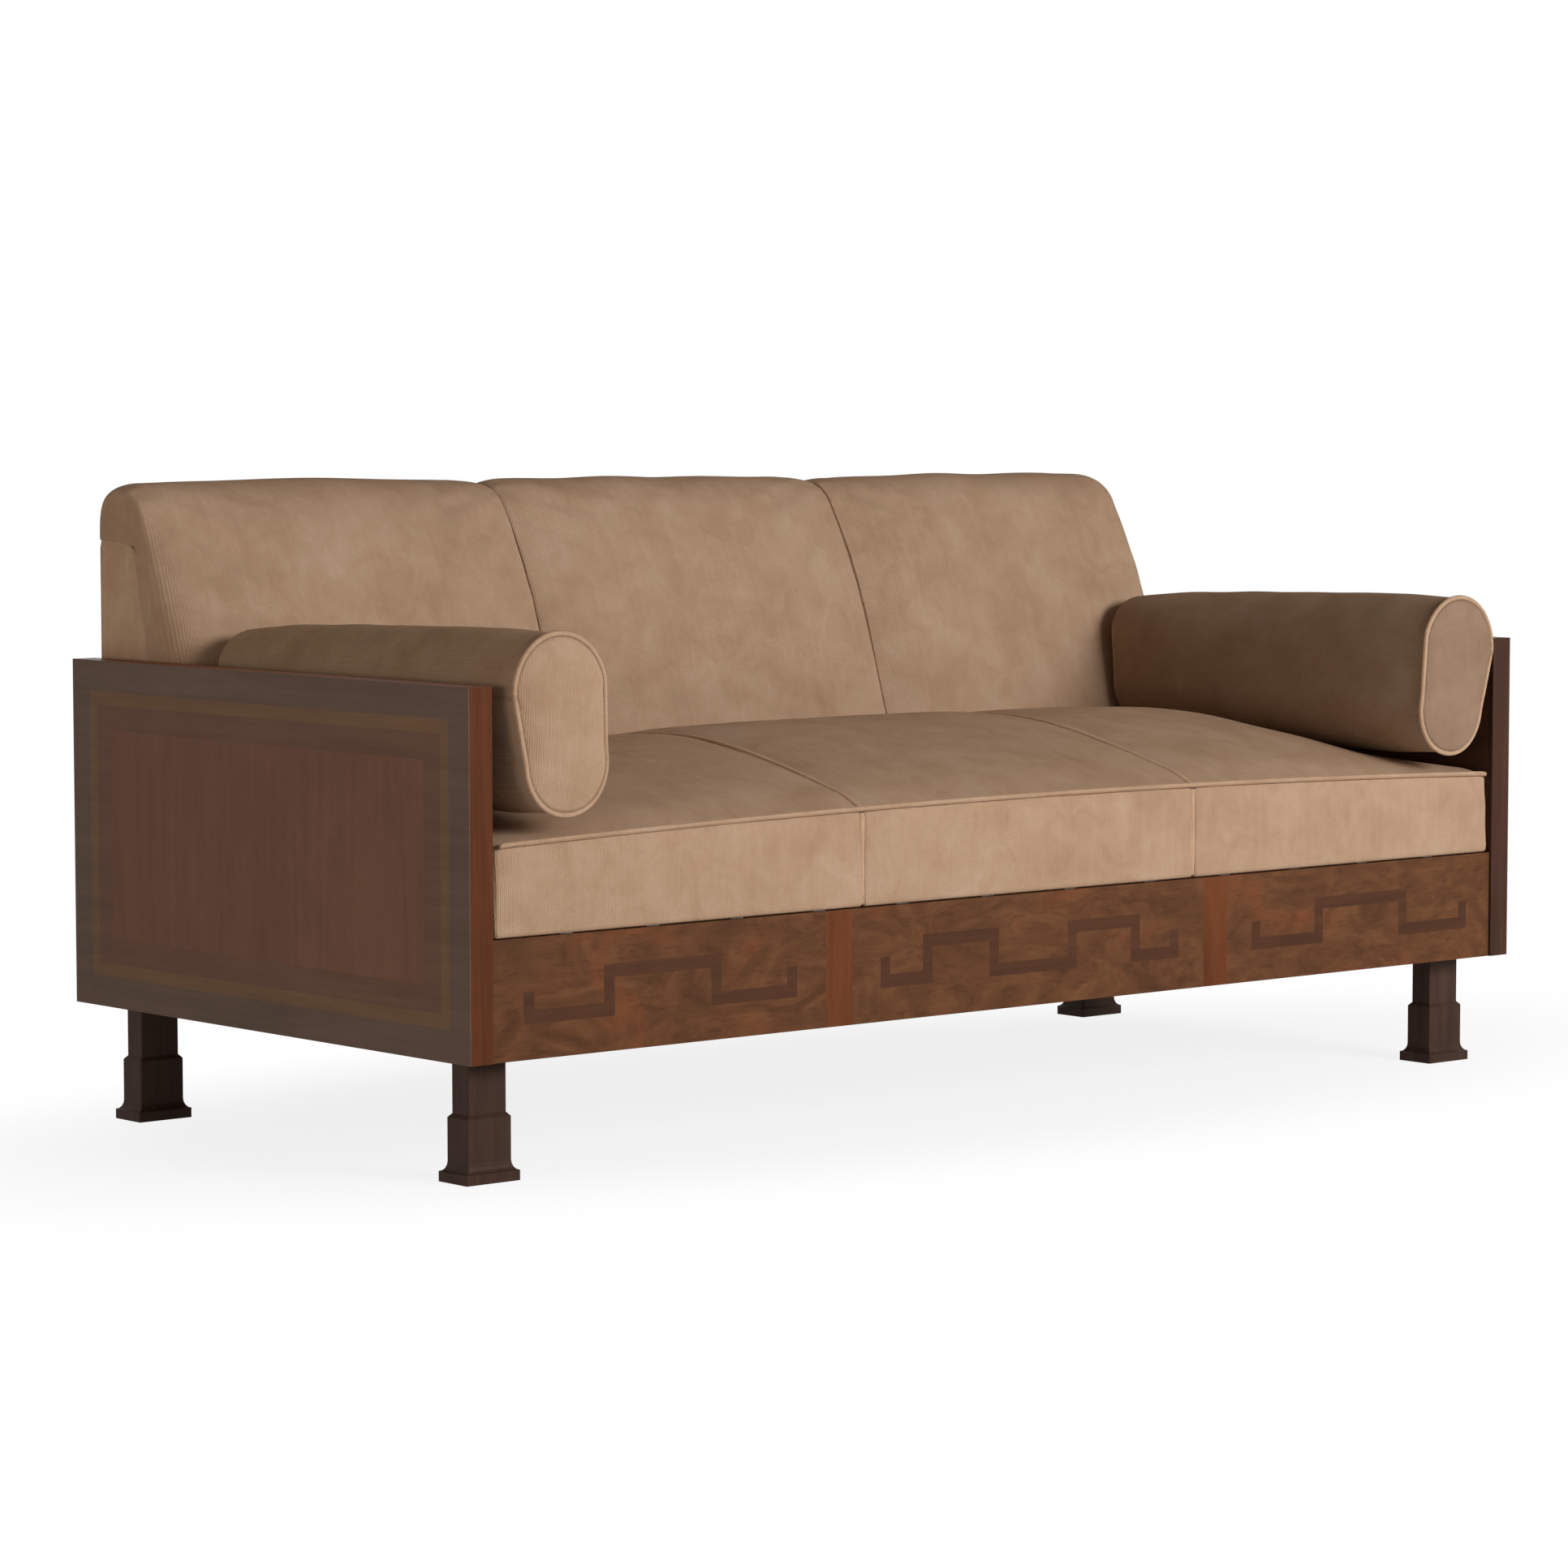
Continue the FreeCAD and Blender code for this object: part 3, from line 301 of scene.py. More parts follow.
def velvet(name, shade=1.0, cap=None):
    """Short pile velvet: soft cloudy nap, faint streaks along the pile and a fine ribbed weave.
    A cap is the part in front of a place on Y, with a shade of its own: painted light and shade, a lighter or
    darker copy of the velvet for how light falls there. A shade other than 1 is painted light or shade too."""
    finish = Finish(name)
    thread = finish.place(source="UV")
    cloud = finish.noise(thread, 7.0, 2.0, 0.55, 0.4)
    streak = finish.noise(finish.place((110, 7, 1), source="UV"), 1.0, 2.0, 0.6)
    patch = finish.noise(finish.place(shift=(3.1, 1.7, 0.4), source="UV"), 22.0, 3.0, 0.6, 0.8)
    nap = cloud * 0.46 + streak * 0.14 + patch * 0.40
    colour = finish.ramp(nap, nap_colours(shade))
    if cap is not None:
        # Painted light and shade on the cap: in front of the place on Y the velvet takes a lighter or darker
        # copy.
        depth = finish.node("ShaderNodeSeparateXYZ", None, {0: finish.place()}, out="Y")
        front = 1 - depth.band(cap[0] - 0.003, cap[0] + 0.001)
        colour = finish.mix(front, colour, finish.ramp(nap, nap_colours(cap[1])))
    across = finish.ribs(thread, "X", 105.0, 1.2, 0.0, 1.5)
    along = finish.ribs(thread, "Y", 120.0, 1.6, 0.0, 1.5)
    pile = finish.noise(thread, 900.0, 0.0)
    weave = across * 0.55 + along * 0.25 + pile * 0.4
    colour = finish.mix(weave.band(0.15, 0.75) * 0.16, colour, srgb(*[part * shade for part in pile_shadow]))
    return finish.finish(Base_Color=colour, Roughness=0.80 + patch * 0.16,
                         Normal=finish.bump(weave, 0.0012, 0.6), Sheen_Tint=srgb(216, 174, 138),
                         **velvet_constants)


def polished_wood(name, dark, middle, light, along="Y", grain=34.0, figure=0.5, gloss=0.42, coat=0.03):
    """Straight-grained polished wood: long pores and soft colour bands that run along one axis."""
    finish = Finish(name)
    stretch = {"X": (0.07, 1, 1), "Y": (1, 0.07, 1), "Z": (1, 1, 0.07)}[along]
    place = finish.place(stretch)
    bands = finish.noise(place, 26.0, 4.0, 0.6, 1.2)
    pores = finish.noise(finish.place(stretch, shift=(0.7, 0.2, 1.3)), grain * 12, 1.0, 0.65)
    flame = finish.noise(finish.place(shift=(1.9, 0.6, 0.3)), 5.5, 3.0, 0.55, 1.5)
    tone = bands * (1 - 0.45 * figure) + flame * 0.45 * figure
    colour = finish.ramp(tone, [(0.22, dark), (0.50, middle), (0.78, light)])
    colour = finish.mix(pores.band(0.58, 0.74) * 0.30, colour, dark)
    rough = gloss + pores * 0.12 + flame * 0.08
    return finish.finish(Base_Color=colour, Roughness=rough, Coat_Weight=coat,
                         Normal=finish.bump(pores, 0.0003, 0.35), **wood_constants)


def burl_wood(name, dark, middle, light, glow, gloss=0.42, coat=0.03):
    """Figured walnut: cloudy burl swirls with small eyes, drawn out a little along X."""
    finish = Finish(name)
    place = finish.place((0.7, 1, 1))
    warp = finish.noise(place, 9.0, 3.0, 0.6, 1.0)
    swirl = finish.noise(finish.place((0.55, 1, 1.1), shift=(0.4, 0.0, 2.2)), 15.0, 6.0, 0.62, 2.6)
    eyes = finish.node("ShaderNodeTexVoronoi", {"feature": "F1"},
                       {"Vector": finish.place((0.8, 1, 1)), "Scale": 34.0, "Randomness": 1.0})
    pores = finish.noise(finish.place((0.15, 1, 1), shift=(0.3, 0.9, 0.1)), 260.0, 1.0, 0.65)
    colour = finish.ramp(swirl * 0.7 + warp * 0.3, [(0.24, dark), (0.50, middle), (0.74, light)])
    colour = finish.mix(warp.band(0.54, 0.72) * 0.45, colour, glow)
    colour = finish.mix((1 - eyes.band(0.05, 0.22)) * 0.22, colour, dark)
    colour = finish.mix(pores.band(0.56, 0.74) * 0.35, colour, dark)
    rough = gloss + pores * 0.12 + swirl * 0.08
    return finish.finish(Base_Color=colour, Roughness=rough, Coat_Weight=coat,
                         Normal=finish.bump(pores, 0.0003, 0.3), **wood_constants)


def woven_cloth(name, dark, light, count=260.0):
    """Plain open weave: crossed sets of threads, one across each axis, with uneven yarn."""
    finish = Finish(name)
    place = finish.place()
    first, second, third = [finish.ribs(place, axis, count, 0.8, 2.0) for axis in "XYZ"]
    yarn = finish.noise(place, 40.0, 4.0, 0.6)
    weave = (first + second + third) / 3
    colour = finish.ramp(weave * 0.6 + yarn * 0.4, [(0.25, dark), (0.75, light)])
    return finish.finish(Base_Color=colour, Roughness=0.85 + yarn * 0.1,
                         Normal=finish.bump(weave, 0.0008, 0.6))


def drawn_steel(name):
    """Bright drawn steel with faint draw lines and a thin dull film."""
    finish = Finish(name)
    lines = finish.noise(finish.place((1, 0.05, 1)), 600.0, 2.0)
    film = finish.noise(finish.place(), 30.0, 4.0, 0.6)
    colour = finish.ramp(film, [(0.35, srgb(120, 118, 115)), (0.65, srgb(178, 177, 175))])
    return finish.finish(Base_Color=colour, Metallic=1.0, Roughness=0.28 + film * 0.25,
                         Normal=finish.bump(lines, 0.0002, 0.3))


# Finishes, by the record's material slot
finishes = {
    "velvet": velvet("velvet"),
    # The piping's velvet is a lighter copy of the seat velvet: a painted highlight where the welt catches the
    # light.
    "velvet_welt": velvet("velvet_piping_painted_highlight", piping_painted_highlight),
    "core_board": polished_wood("stained_board", srgb(58, 38, 29), srgb(78, 53, 40), srgb(96, 68, 51)),
    "lipping": polished_wood("mahogany_lipping", srgb(72, 37, 18), srgb(98, 53, 27), srgb(119, 69, 38), "Z"),
    "border_veneer": polished_wood("border_veneer", srgb(90, 72, 62), srgb(103, 83, 72), srgb(116, 94, 82)),
    "banding": polished_wood("golden_banding", srgb(102, 77, 56), srgb(117, 89, 66), srgb(130, 100, 75)),
    "crossband_veneer": polished_wood("crossband_veneer", srgb(96, 69, 55), srgb(109, 79, 64),
                                      srgb(119, 89, 72)),
    "field_veneer": polished_wood("figured_field", srgb(104, 71, 56), srgb(117, 82, 65), srgb(128, 91, 73),
                                  "Z", 26.0, 1.0),
    "rail_veneer": burl_wood("figured_walnut", srgb(64, 39, 24), srgb(98, 62, 38), srgb(122, 80, 52),
                             srgb(122, 66, 37)),
    "rail_band": polished_wood("red_band", srgb(80, 40, 20), srgb(104, 57, 30), srgb(123, 71, 40), "Z"),
    "key_inlay": polished_wood("dark_inlay", srgb(62, 37, 24), srgb(79, 49, 33), srgb(94, 60, 41), "X"),
    "rail_wood": polished_wood("rail_wood", srgb(70, 45, 31), srgb(98, 65, 44), srgb(118, 82, 56), "X"),
    "leg_wood": polished_wood("leg_wood", srgb(48, 33, 26), srgb(66, 47, 38), srgb(82, 60, 49), "Z"),
    "frame_wood": polished_wood("plain_hardwood", srgb(160, 124, 86), srgb(184, 148, 106),
                                srgb(204, 170, 126), "X", 30.0, 0.4, 0.6, 0.0),
    "steel": drawn_steel("drawn_steel"),
    "filling": woven_cloth("soft_filling", srgb(206, 194, 164), srgb(226, 216, 190), 90.0),
    "hessian": woven_cloth("jute", srgb(112, 88, 56), srgb(166, 136, 92)),
    "lining": woven_cloth("black_lining", srgb(14, 14, 15), srgb(34, 33, 33), 420.0),
}
for entry in frame["record"]["subparts"]:
    mesh = nodes[entry["node"]].data
    mesh.materials.clear()
    mesh.materials.append(finishes[entry["material_slot"]])
nodes["right_panel_lippings"].data.materials[0] = polished_wood(
    "dark_lipping", srgb(50, 31, 23), srgb(67, 43, 33), srgb(82, 55, 43), "Z")


def make_piece(name, points, faces, slot, body, stands_for, uv=None):
    """A mesh from whole arrays of points and faces, with a UV per point or face corner, riding on a body."""
    mesh = bpy.data.meshes.new(name)
    mesh.from_pydata(points.tolist(), [], faces)
    if uv is not None:
        layer = mesh.uv_layers.new(name="thread")
        corners = np.zeros(len(mesh.loops), np.int32)
        mesh.loops.foreach_get("vertex_index", corners)
        uv = uv[corners] if len(uv) == len(points) else uv
        layer.data.foreach_set("uv", uv.astype(np.float32).ravel())
    mesh.polygons.foreach_set("use_smooth", np.ones(len(mesh.polygons), bool))
    mesh.update()
    piece = bpy.data.objects.new(name, mesh)
    scene.collection.objects.link(piece)
    mesh.materials.append(finishes[slot])
    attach(piece, body)
    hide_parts(*stands_for)
    return piece


def skin(rings):
    """Faces of a tube through closed rings, rings x points x 3, with a pole added at each end."""
    count, around = rings.shape[:2]
    index = np.arange(count * around).reshape(count, around)
    after = np.roll(index, -1, axis=1)
    quads = np.stack([index[:-1], after[:-1], after[1:], index[1:]], axis=-1).reshape(-1, 4)
    first_pole = count * around
    start = np.stack([np.full(around, first_pole), after[0], index[0]], axis=-1)
    end = np.stack([np.full(around, first_pole + 1), index[-1], after[-1]], axis=-1)
    poles = np.stack([rings[0].mean(axis=0), rings[-1].mean(axis=0)])
    points = np.concatenate([rings.reshape(-1, 3), poles])
    return points, quads.tolist() + start.tolist() + end.tolist()


def outward(points, faces):
    """Faces turned over as a whole where the closed form's signed volume is negative."""
    triangles = [face[:3] for face in faces] + [[face[0], *face[2:4]] for face in faces if len(face) > 3]
    triangles = np.array(triangles)
    a, b, c = points[triangles[:, 0]], points[triangles[:, 1]], points[triangles[:, 2]]
    volume = np.einsum("ij,ij->i", a, np.cross(b, c)).sum()
    return faces if volume > 0 else [face[::-1] for face in faces]


def swell(piece, held, cap, limit=None):
    """Cloth under pressure swells the form against the points where it is sewn or rests.
    Each point keeps a share of its way: cap times the hyperbolic tangent of way over cap."""
    mesh = piece.data
    rest = np.zeros(len(mesh.vertices) * 3)
    mesh.vertices.foreach_get("co", rest)
    rest = rest.reshape(-1, 3)
    group = piece.vertex_groups.new(name="sewn")
    group.add(np.flatnonzero(held).tolist(), 1.0, "REPLACE")
    cloth = piece.modifiers.new("swell", "CLOTH")
    for name, setting in cloth_settings.items():
        setattr(cloth.settings, name, setting)
    cloth.settings.effector_weights.gravity = 0.0
    cloth.collision_settings.use_collision = False
    cloth.collision_settings.use_self_collision = False
    for step in range(1, swell_steps + 1):
        scene.frame_set(step)
    shape = piece.evaluated_get(bpy.context.evaluated_depsgraph_get()).to_mesh()
    moved = np.zeros(len(rest) * 3)
    shape.vertices.foreach_get("co", moved)
    way = moved.reshape(-1, 3) - rest
    piece.modifiers.remove(cloth)
    piece.vertex_groups.remove(group)
    scene.frame_set(1)
    length = np.linalg.norm(way, axis=1, keepdims=True) + 1e-9
    way = way / length * cap * np.tanh(length / cap)
    if limit is not None:
        way = way * limit[:, None]
    mesh.vertices.foreach_set("co", (rest + way).ravel())
    mesh.update()


def smooth_once(piece):
    """One level of subdivision, the same in view and render."""
    modifier = piece.modifiers.new("round", "SUBSURF")
    modifier.levels = 1
    modifier.render_levels = 1


def waves(u, v, size, seed):
    """A smooth field over two lengths, about -1 to 1: a sum of sines in seeded directions, about one size
    long."""
    draw = np.random.default_rng(seed)
    turns = draw.uniform(0, math.pi, wave_count)
    phases = draw.uniform(0, 2 * math.pi, wave_count)
    pitches = draw.uniform(0.7, 1.4, wave_count)
    total = np.zeros(np.broadcast(u, v).shape)
    for turn, phase, pitch in zip(turns, phases, pitches):
        total = total + np.sin((u * math.cos(turn) + v * math.sin(turn)) * 2 * math.pi / size * pitch + phase)
    return total / wave_count ** 0.5 / wave_peak


def run(start, end, count):
    """Evenly spaced points on straight lines, rows x count x 2, without the last point."""
    share = np.linspace(0, 1, count, endpoint=False)[None, :, None]
    return start[:, None, :] * (1 - share) + end[:, None, :] * share


def tangent_arc(start, direction, end, count):
    """Points on arcs that leave start along a direction and reach end, in the YZ plane, rows x count x 2.
    The centre lies on the normal at start, at radius chord squared over twice chord dot normal."""
    chord = end - start
    normal = np.array([direction[1], -direction[0]])
    radius = (chord * chord).sum(axis=1) / (2 * chord @ normal)
    centre = start + normal * radius[:, None]
    first = np.arctan2(*(start - centre).T[::-1])
    last = np.arctan2(*(end - centre).T[::-1])
    sweep = (last - first + math.pi) % (2 * math.pi) - math.pi
    angle = first[:, None] + sweep[:, None] * np.linspace(0, 1, count, endpoint=False)
    reach = np.abs(radius)[:, None]
    return np.stack([centre[:, :1] + reach * np.cos(angle), centre[:, 1:] + reach * np.sin(angle)], axis=-1)


def closed_form(x, profile, rungs):
    """A form drawn along X through closed YZ outlines of an even count. Each end is closed by a flat ladder:
    rungs join the first half of the outline to the second half, with a few points along each rung.
    The thread UV, per face corner, is the place along X and the length round the outline, and YZ on the
    ends."""
    count, around = profile.shape[:2]
    half = around // 2
    share = np.linspace(0, 1, rungs + 2)[1:-1, None]
    ends = profile[[0, -1]]
    first_side, second_side = ends[:, 1:half - 1, None], ends[:, around - 2:half:-1, None]
    ladder = first_side * (1 - share) + second_side * share
    wall = np.concatenate([np.broadcast_to(x[:, None, None], (count, around, 1)), profile], axis=-1)
    end_x = np.broadcast_to(x[[0, -1], None, None, None], (*ladder.shape[:3], 1))
    fill = np.concatenate([end_x, ladder], axis=-1)
    points = np.concatenate([wall.reshape(-1, 3), fill.reshape(-1, 3)])
    index = np.arange(count * around).reshape(count, around)
    after = np.roll(index, -1, axis=1)
    walls = np.stack([index[:-1], after[:-1], after[1:], index[1:]], axis=-1).reshape(-1, 4).tolist()
    inner = count * around + np.arange(ladder[..., 0].size).reshape(ladder.shape[:3])
    caps = []
    for ring, rows, turn in ((index[0], inner[0], -1), (index[-1], inner[1], 1)):
        grid = np.concatenate([ring[1:half - 1, None], rows, ring[around - 2:half:-1, None]], axis=1)
        flat = np.stack([grid[:-1, :-1], grid[1:, :-1], grid[1:, 1:], grid[:-1, 1:]], axis=-1).reshape(-1, 4)
        foot = [ring[0], *grid[0], ring[-1]]
        head = [ring[half], *grid[-1][::-1], ring[half - 1]]
        caps += [[int(corner) for corner in face[::turn]] for face in [*flat, foot, head]]
    faces = outward(points, walls + caps)
    step = np.linalg.norm(np.diff(profile, axis=1, append=profile[:, :1]), axis=2).mean(axis=0)
    length = np.concatenate([[0.0], np.cumsum(step)[:-1]])
    wall_uv = np.stack(np.broadcast_arrays(x[:, None], length[None, :]), axis=-1).reshape(-1, 2)
    uv = np.concatenate([wall_uv[np.concatenate(faces[:len(walls)])],
                         points[np.concatenate(faces[len(walls):]), 1:]])
    return points, faces, uv, (count, around)


def merged(forms):
    """Several point, face and UV sets as one."""
    starts = np.cumsum([0] + [len(points) for points, _, _ in forms])
    faces = [[corner + int(start) for corner in face]
             for start, form in zip(starts, forms) for face in form[1]]
    points, uv = [np.concatenate([form[item] for form in forms]) for item in (0, 2)]
    return points, faces, uv


def edge_round(distance, half, radius):
    """Share of a rounded side's draw: a quarter ellipse, 1 at the side and 0 a radius in from it."""
    to_edge = np.clip((half - np.abs(distance)) / radius, 0, 1)
    return 1 - np.sqrt(1 - (1 - to_edge) ** 2)


def seat_edge(x):
    """Height of the seat's front edge: it droops to both ends with the square of x and rounds off there."""
    droop = seat_droop * (x / seat_end) ** 2 + seat_corner_drop * edge_round(x, seat_end, seat_corner_radius)
    return rail_top + seat_edge_height - droop


def smooth_step(share):
    """0 to 1 by the cubic 3 s^2 - 2 s^3."""
    share = np.clip(share, 0, 1)
    return share ** 2 * (3 - 2 * share)


def seat_arc(x):
    """Radius and centre height of the arc over the crest, whose rise falls as a cosine power to the ends.
    Smooth steps up and down bulge it beside the right bolster, and a bell curve lowers it at the left."""
    reach = np.clip((np.abs(x) - seat_flat_half) / (seat_end - seat_flat_half), 0, 1)
    rise = seat_end_crown + (seat_crown - seat_end_crown) * np.cos(math.pi / 2 * reach) ** seat_fall_power
    bulge = smooth_step((x - bulge_start) / bulge_rise) * (1 - smooth_step((x - bulge_end) / bulge_fall))
    rise = rise + seat_bulge * bulge - seat_hollow * np.exp(-((x - hollow_x) / hollow_reach) ** 2)
    radius = (seat_setback ** 2 + rise ** 2) / (2 * rise)
    return radius, seat_edge(x) + rise - radius


def seat_top(x, y):
    """Height of the seat over any place: the crest arc, filled out behind the front edge by a roll that rises
    as a parabola and fades out to the crest with the square of the way, and made more of a straight ramp by
    a share of the arc's rise times way * (1 - way) squared, less so to the ends."""
    radius, centre = seat_arc(x)
    behind = np.clip((y - seat_front) / seat_roll, 0, 1)
    to_crest = np.clip((seat_crest - y) / (seat_setback - seat_roll), 0, 1)
    roll = seat_roll_rise * (1 - (1 - behind) ** 2) * to_crest ** 2
    way = np.clip((y - seat_front) / seat_setback, 0, 1)
    rise = centre + radius - seat_edge(x)
    ramp = seat_ramp * rise * (rise / seat_crown) ** 3 * way * (1 - way) ** 2
    return centre + np.sqrt(radius ** 2 - (y - seat_crest) ** 2) + roll - ramp


def seat_rear_top(x):
    """Where the crest arc meets the slope of the back, by repeated substitution."""
    y = np.full(np.shape(x), seat_rear)
    for _ in range(12):
        y = seat_rear + (seat_top(x, y) - seat_base) * back_slope
    return y


def pushed(profile, middle, way):
    """YZ outlines moved away from a middle point by a length for each point."""
    away = profile - middle
    away = away / np.linalg.norm(away, axis=2, keepdims=True)
    return profile + away * way[..., None]


def make_seat_section(name, x0, x1, stands_for):
    """One sewn seat section: a front wall, the top, a sloped rear wall and a flat base. The surface dips to
    the seams with the square of the nearness, less on the front wall, puckers beside them and swells."""
    count = int(round((x1 - x0) / cell))
    share = (1 - np.cos(np.linspace(0, math.pi, count + 1))) / 2
    x = x0 + (x1 - x0) * (0.75 * np.linspace(0, 1, count + 1) + 0.25 * share)
    zero = np.zeros_like(x)
    rear_y = seat_rear_top(x)
    edge = np.stack([zero + seat_front, seat_edge(x)], axis=-1)
    front_base = np.stack([zero + seat_front, zero + seat_base], axis=-1)
    rear_top = np.stack([rear_y, seat_top(x, rear_y)], axis=-1)
    rear_base = np.stack([zero + seat_rear, zero + seat_base], axis=-1)
    front_rows, top_rows, rear_rows, base_rows = seat_rows.values()
    y = seat_front + (rear_y - seat_front)[:, None] * np.linspace(0, 1, top_rows, endpoint=False)
    top = np.stack([y, seat_top(x[:, None], y)], axis=-1)
    profile = np.concatenate([run(front_base, edge, front_rows), top, run(rear_top, rear_base, rear_rows),
                              run(rear_base, front_base, base_rows)], axis=1)
    walls = front_rows + top_rows + rear_rows
    to_seam = np.minimum(np.abs(x - x0), np.abs(x - x1))
    inner = np.where(np.abs(x - x0) < np.abs(x - x1), abs(x0) < seat_end - cell, abs(x1) < seat_end - cell)
    near = np.clip(1 - to_seam / seat_dip_reach, 0, 1) ** 2
    depth = np.where(inner, seat_seam_dip, seat_end_dip) * near + seat_slack
    girth = profile[..., 0] + profile[..., 1]
    beside = np.clip(1 - to_seam / seat_pucker_reach, 0, 1)[:, None]
    pucker = seat_pucker * beside * waves(girth, x[:, None] * 0.2, seat_pucker_size, 5)
    cloud = seat_cloud * waves(x[:, None], girth, seat_cloud_size, 8)
    middle = np.array([(seat_front + seat_rear) / 2, (seat_base + rail_top + 0.2) / 2])
    ease = np.concatenate([np.clip(np.arange(front_rows) / 5, 0, 1), np.ones(top_rows),
                           np.linspace(1, 0, rear_rows), np.zeros(base_rows)])
    dip = np.concatenate([np.full(front_rows - 6, boxing_dip), np.linspace(boxing_dip, 1, 6),
                          np.ones(top_rows + rear_rows + base_rows)])
    profile = pushed(profile, middle, (-depth[:, None] * dip + pucker + cloud) * ease)
    points, faces, uv, size = closed_form(x, profile, cap_ladder)
    piece = make_piece(name, points, faces, "velvet", "sofa", stands_for, uv)
    held = np.ones(len(points), bool)
    rows = held[:size[0] * size[1]].reshape(size)
    rows[2:-2, 2:walls - 2] = False
    rows[:, front_rows] = True
    swell(piece, held, pad_swell)
    smooth_once(piece)
    return piece


def make_back_section(name, x0, x1, stands_for):
    """One back section: a straight face that leans back, a shoulder and a roll over the top, crowned along X
    with the square of the distance, and rounded at both sides by quarter ellipses. The roll falls to the rear
    as a quarter superellipse. The whole back grows higher to the left, in line with X."""
    middle, half = (x0 + x1) / 2, (x1 - x0) / 2
    sides = (left_end_edge if x0 < -seam_x - cell else seam_edge,
             right_end_edge if x1 > seam_x + cell else seam_edge)
    ends = [half - side[0] * (1 - np.cos(np.linspace(0, math.pi / 2, edge_columns))) for side in sides]
    flat = np.linspace(-(half - sides[0][0]), half - sides[1][0], back_columns)
    distance = np.concatenate([-ends[0], flat[1:-1], ends[1][::-1]])
    x = middle + distance
    zero = np.zeros_like(x)
    side = np.where(distance[:, None] < 0, np.array(sides[0]), np.array(sides[1]))
    rounding = edge_round(distance, half, side[:, 0])
    side_draw, base_draw, crest_draw, rear_draw = (rounding[:, None] * side[:, 1:]).T
    crown = back_crown * (distance / half) ** 2 + back_slack
    inset = crown + side_draw
    crest_y = back_face - back_roll_rear
    foot = zero + rail_top + hair
    front_base = np.stack([back_front + crown + base_draw, foot], axis=-1)
    straight_y = back_front + (back_straight - rail_top) * back_slope + inset
    straight = np.stack([straight_y, zero + back_straight], axis=-1)
    full = back_fullness * np.clip((seam_x - x) / (seam_x + back_end), 0, 1)
    roll_inset = crown + crest_draw
    shoulder = np.stack([crest_y - back_roll_front + roll_inset,
                         back_top - back_roll_drop - roll_inset / 2 + full], axis=-1)
    crest = np.stack([zero + crest_y, back_top - roll_inset + full], axis=-1)
    rear = np.stack([back_face - back_slack - rear_draw, zero + back_notch + back_lip], axis=-1)
    notch = zero + back_notch
    notch_rear = np.stack([rear[:, 0], notch], axis=-1)
    notch_inner = np.stack([zero + pad_plane + (back_notch - rail_top) * rib_slope, notch], axis=-1)
    rear_base = np.stack([zero + pad_plane, foot], axis=-1)
    lean = np.array([math.sin(math.atan(back_slope)), math.cos(math.atan(back_slope))])
    over = tangent_arc(crest, np.array([-1.0, 0.0]), shoulder, back_rows["over"] + 1)[:, :0:-1]
    turn = np.linspace(0, math.pi / 2, back_rows["roll"], endpoint=False)
    way = np.stack([np.sin(turn), 1 - np.cos(turn) ** (2 / back_roll_power)], axis=-1)
    way[:, 0] = way[:, 0] ** (2 / back_roll_power)
    rear_roll = crest[:, None, :] + (rear - crest)[:, None, :] * way
    profile = np.concatenate([
        run(front_base, straight, back_rows["face"]),
        tangent_arc(straight, lean, shoulder, back_rows["shoulder"]),
        shoulder[:, None, :],
        over,
        rear_roll,
        run(rear, notch_rear, 1),
        run(notch_rear, notch_inner, back_rows["notch"]),
        run(notch_inner, rear_base, back_rows["rear"]),
        run(rear_base, front_base, back_rows["base"]),
    ], axis=1)
    shown = sum(back_rows[part] for part in ("face", "shoulder", "over", "roll")) + 1
    around = profile.shape[1]
    beside = np.clip(1 - (half - np.abs(distance)) / back_pucker_reach, 0, 1)[:, None]
    pucker = back_pucker * beside * waves(
        profile[..., 0] * 0.4 + profile[..., 1], x[:, None] * 0.3, back_pucker_size, 21)
    seed = int(1000 * (x0 + 2))
    cloud = back_cloud * waves(x[:, None], profile[..., 1] + profile[..., 0], back_cloud_size, seed)
    ease = np.concatenate([np.clip(np.arange(shown) / 6, 0, 1), np.zeros(around - shown)])
    ease[shown - 6:shown] = np.linspace(1, 0, 6)
    profile = pushed(profile, back_pivot, (pucker + cloud) * ease)
    points, faces, uv, size = closed_form(x, profile, cap_ladder)
    piece = make_piece(name, points, faces, "velvet", "sofa", stands_for, uv)
    held = np.ones(len(points), bool)
    rows = held[:size[0] * size[1]].reshape(size)
    rows[2:-2, 3:shown - 2] = False
    swell(piece, held, pad_swell)
    smooth_once(piece)
    return piece


def egg(angle_count, tilt):
    """The bolster's egg outline from its middle: an arc at the top, a smaller one below, two tangent lines,
    tilted outward. Points are even along the outline."""
    top = bolster_half_height - bolster_top_radius
    low = bolster_low_radius - bolster_half_height
    taper = math.asin((bolster_top_radius - bolster_low_radius) / (top - low))
    upper = np.linspace(taper, math.pi - taper, arc_points)
    lower = np.linspace(math.pi - taper, 2 * math.pi + taper, arc_points)
    u = np.concatenate([bolster_top_radius * np.cos(upper), bolster_low_radius * np.cos(lower)])
    w = np.concatenate([top + bolster_top_radius * np.sin(upper), low + bolster_low_radius * np.sin(lower)])
    u, w = np.append(u, u[0]), np.append(w, w[0])
    length = np.concatenate([[0.0], np.cumsum(np.hypot(np.diff(u), np.diff(w)))])
    even = np.linspace(0, length[-1], angle_count, endpoint=False)
    u, w = np.interp(even, length, u), np.interp(even, length, w)
    turned_u = u * math.cos(tilt) + w * math.sin(tilt)
    turned_w = w * math.cos(tilt) - u * math.sin(tilt)
    return turned_u, turned_w, even


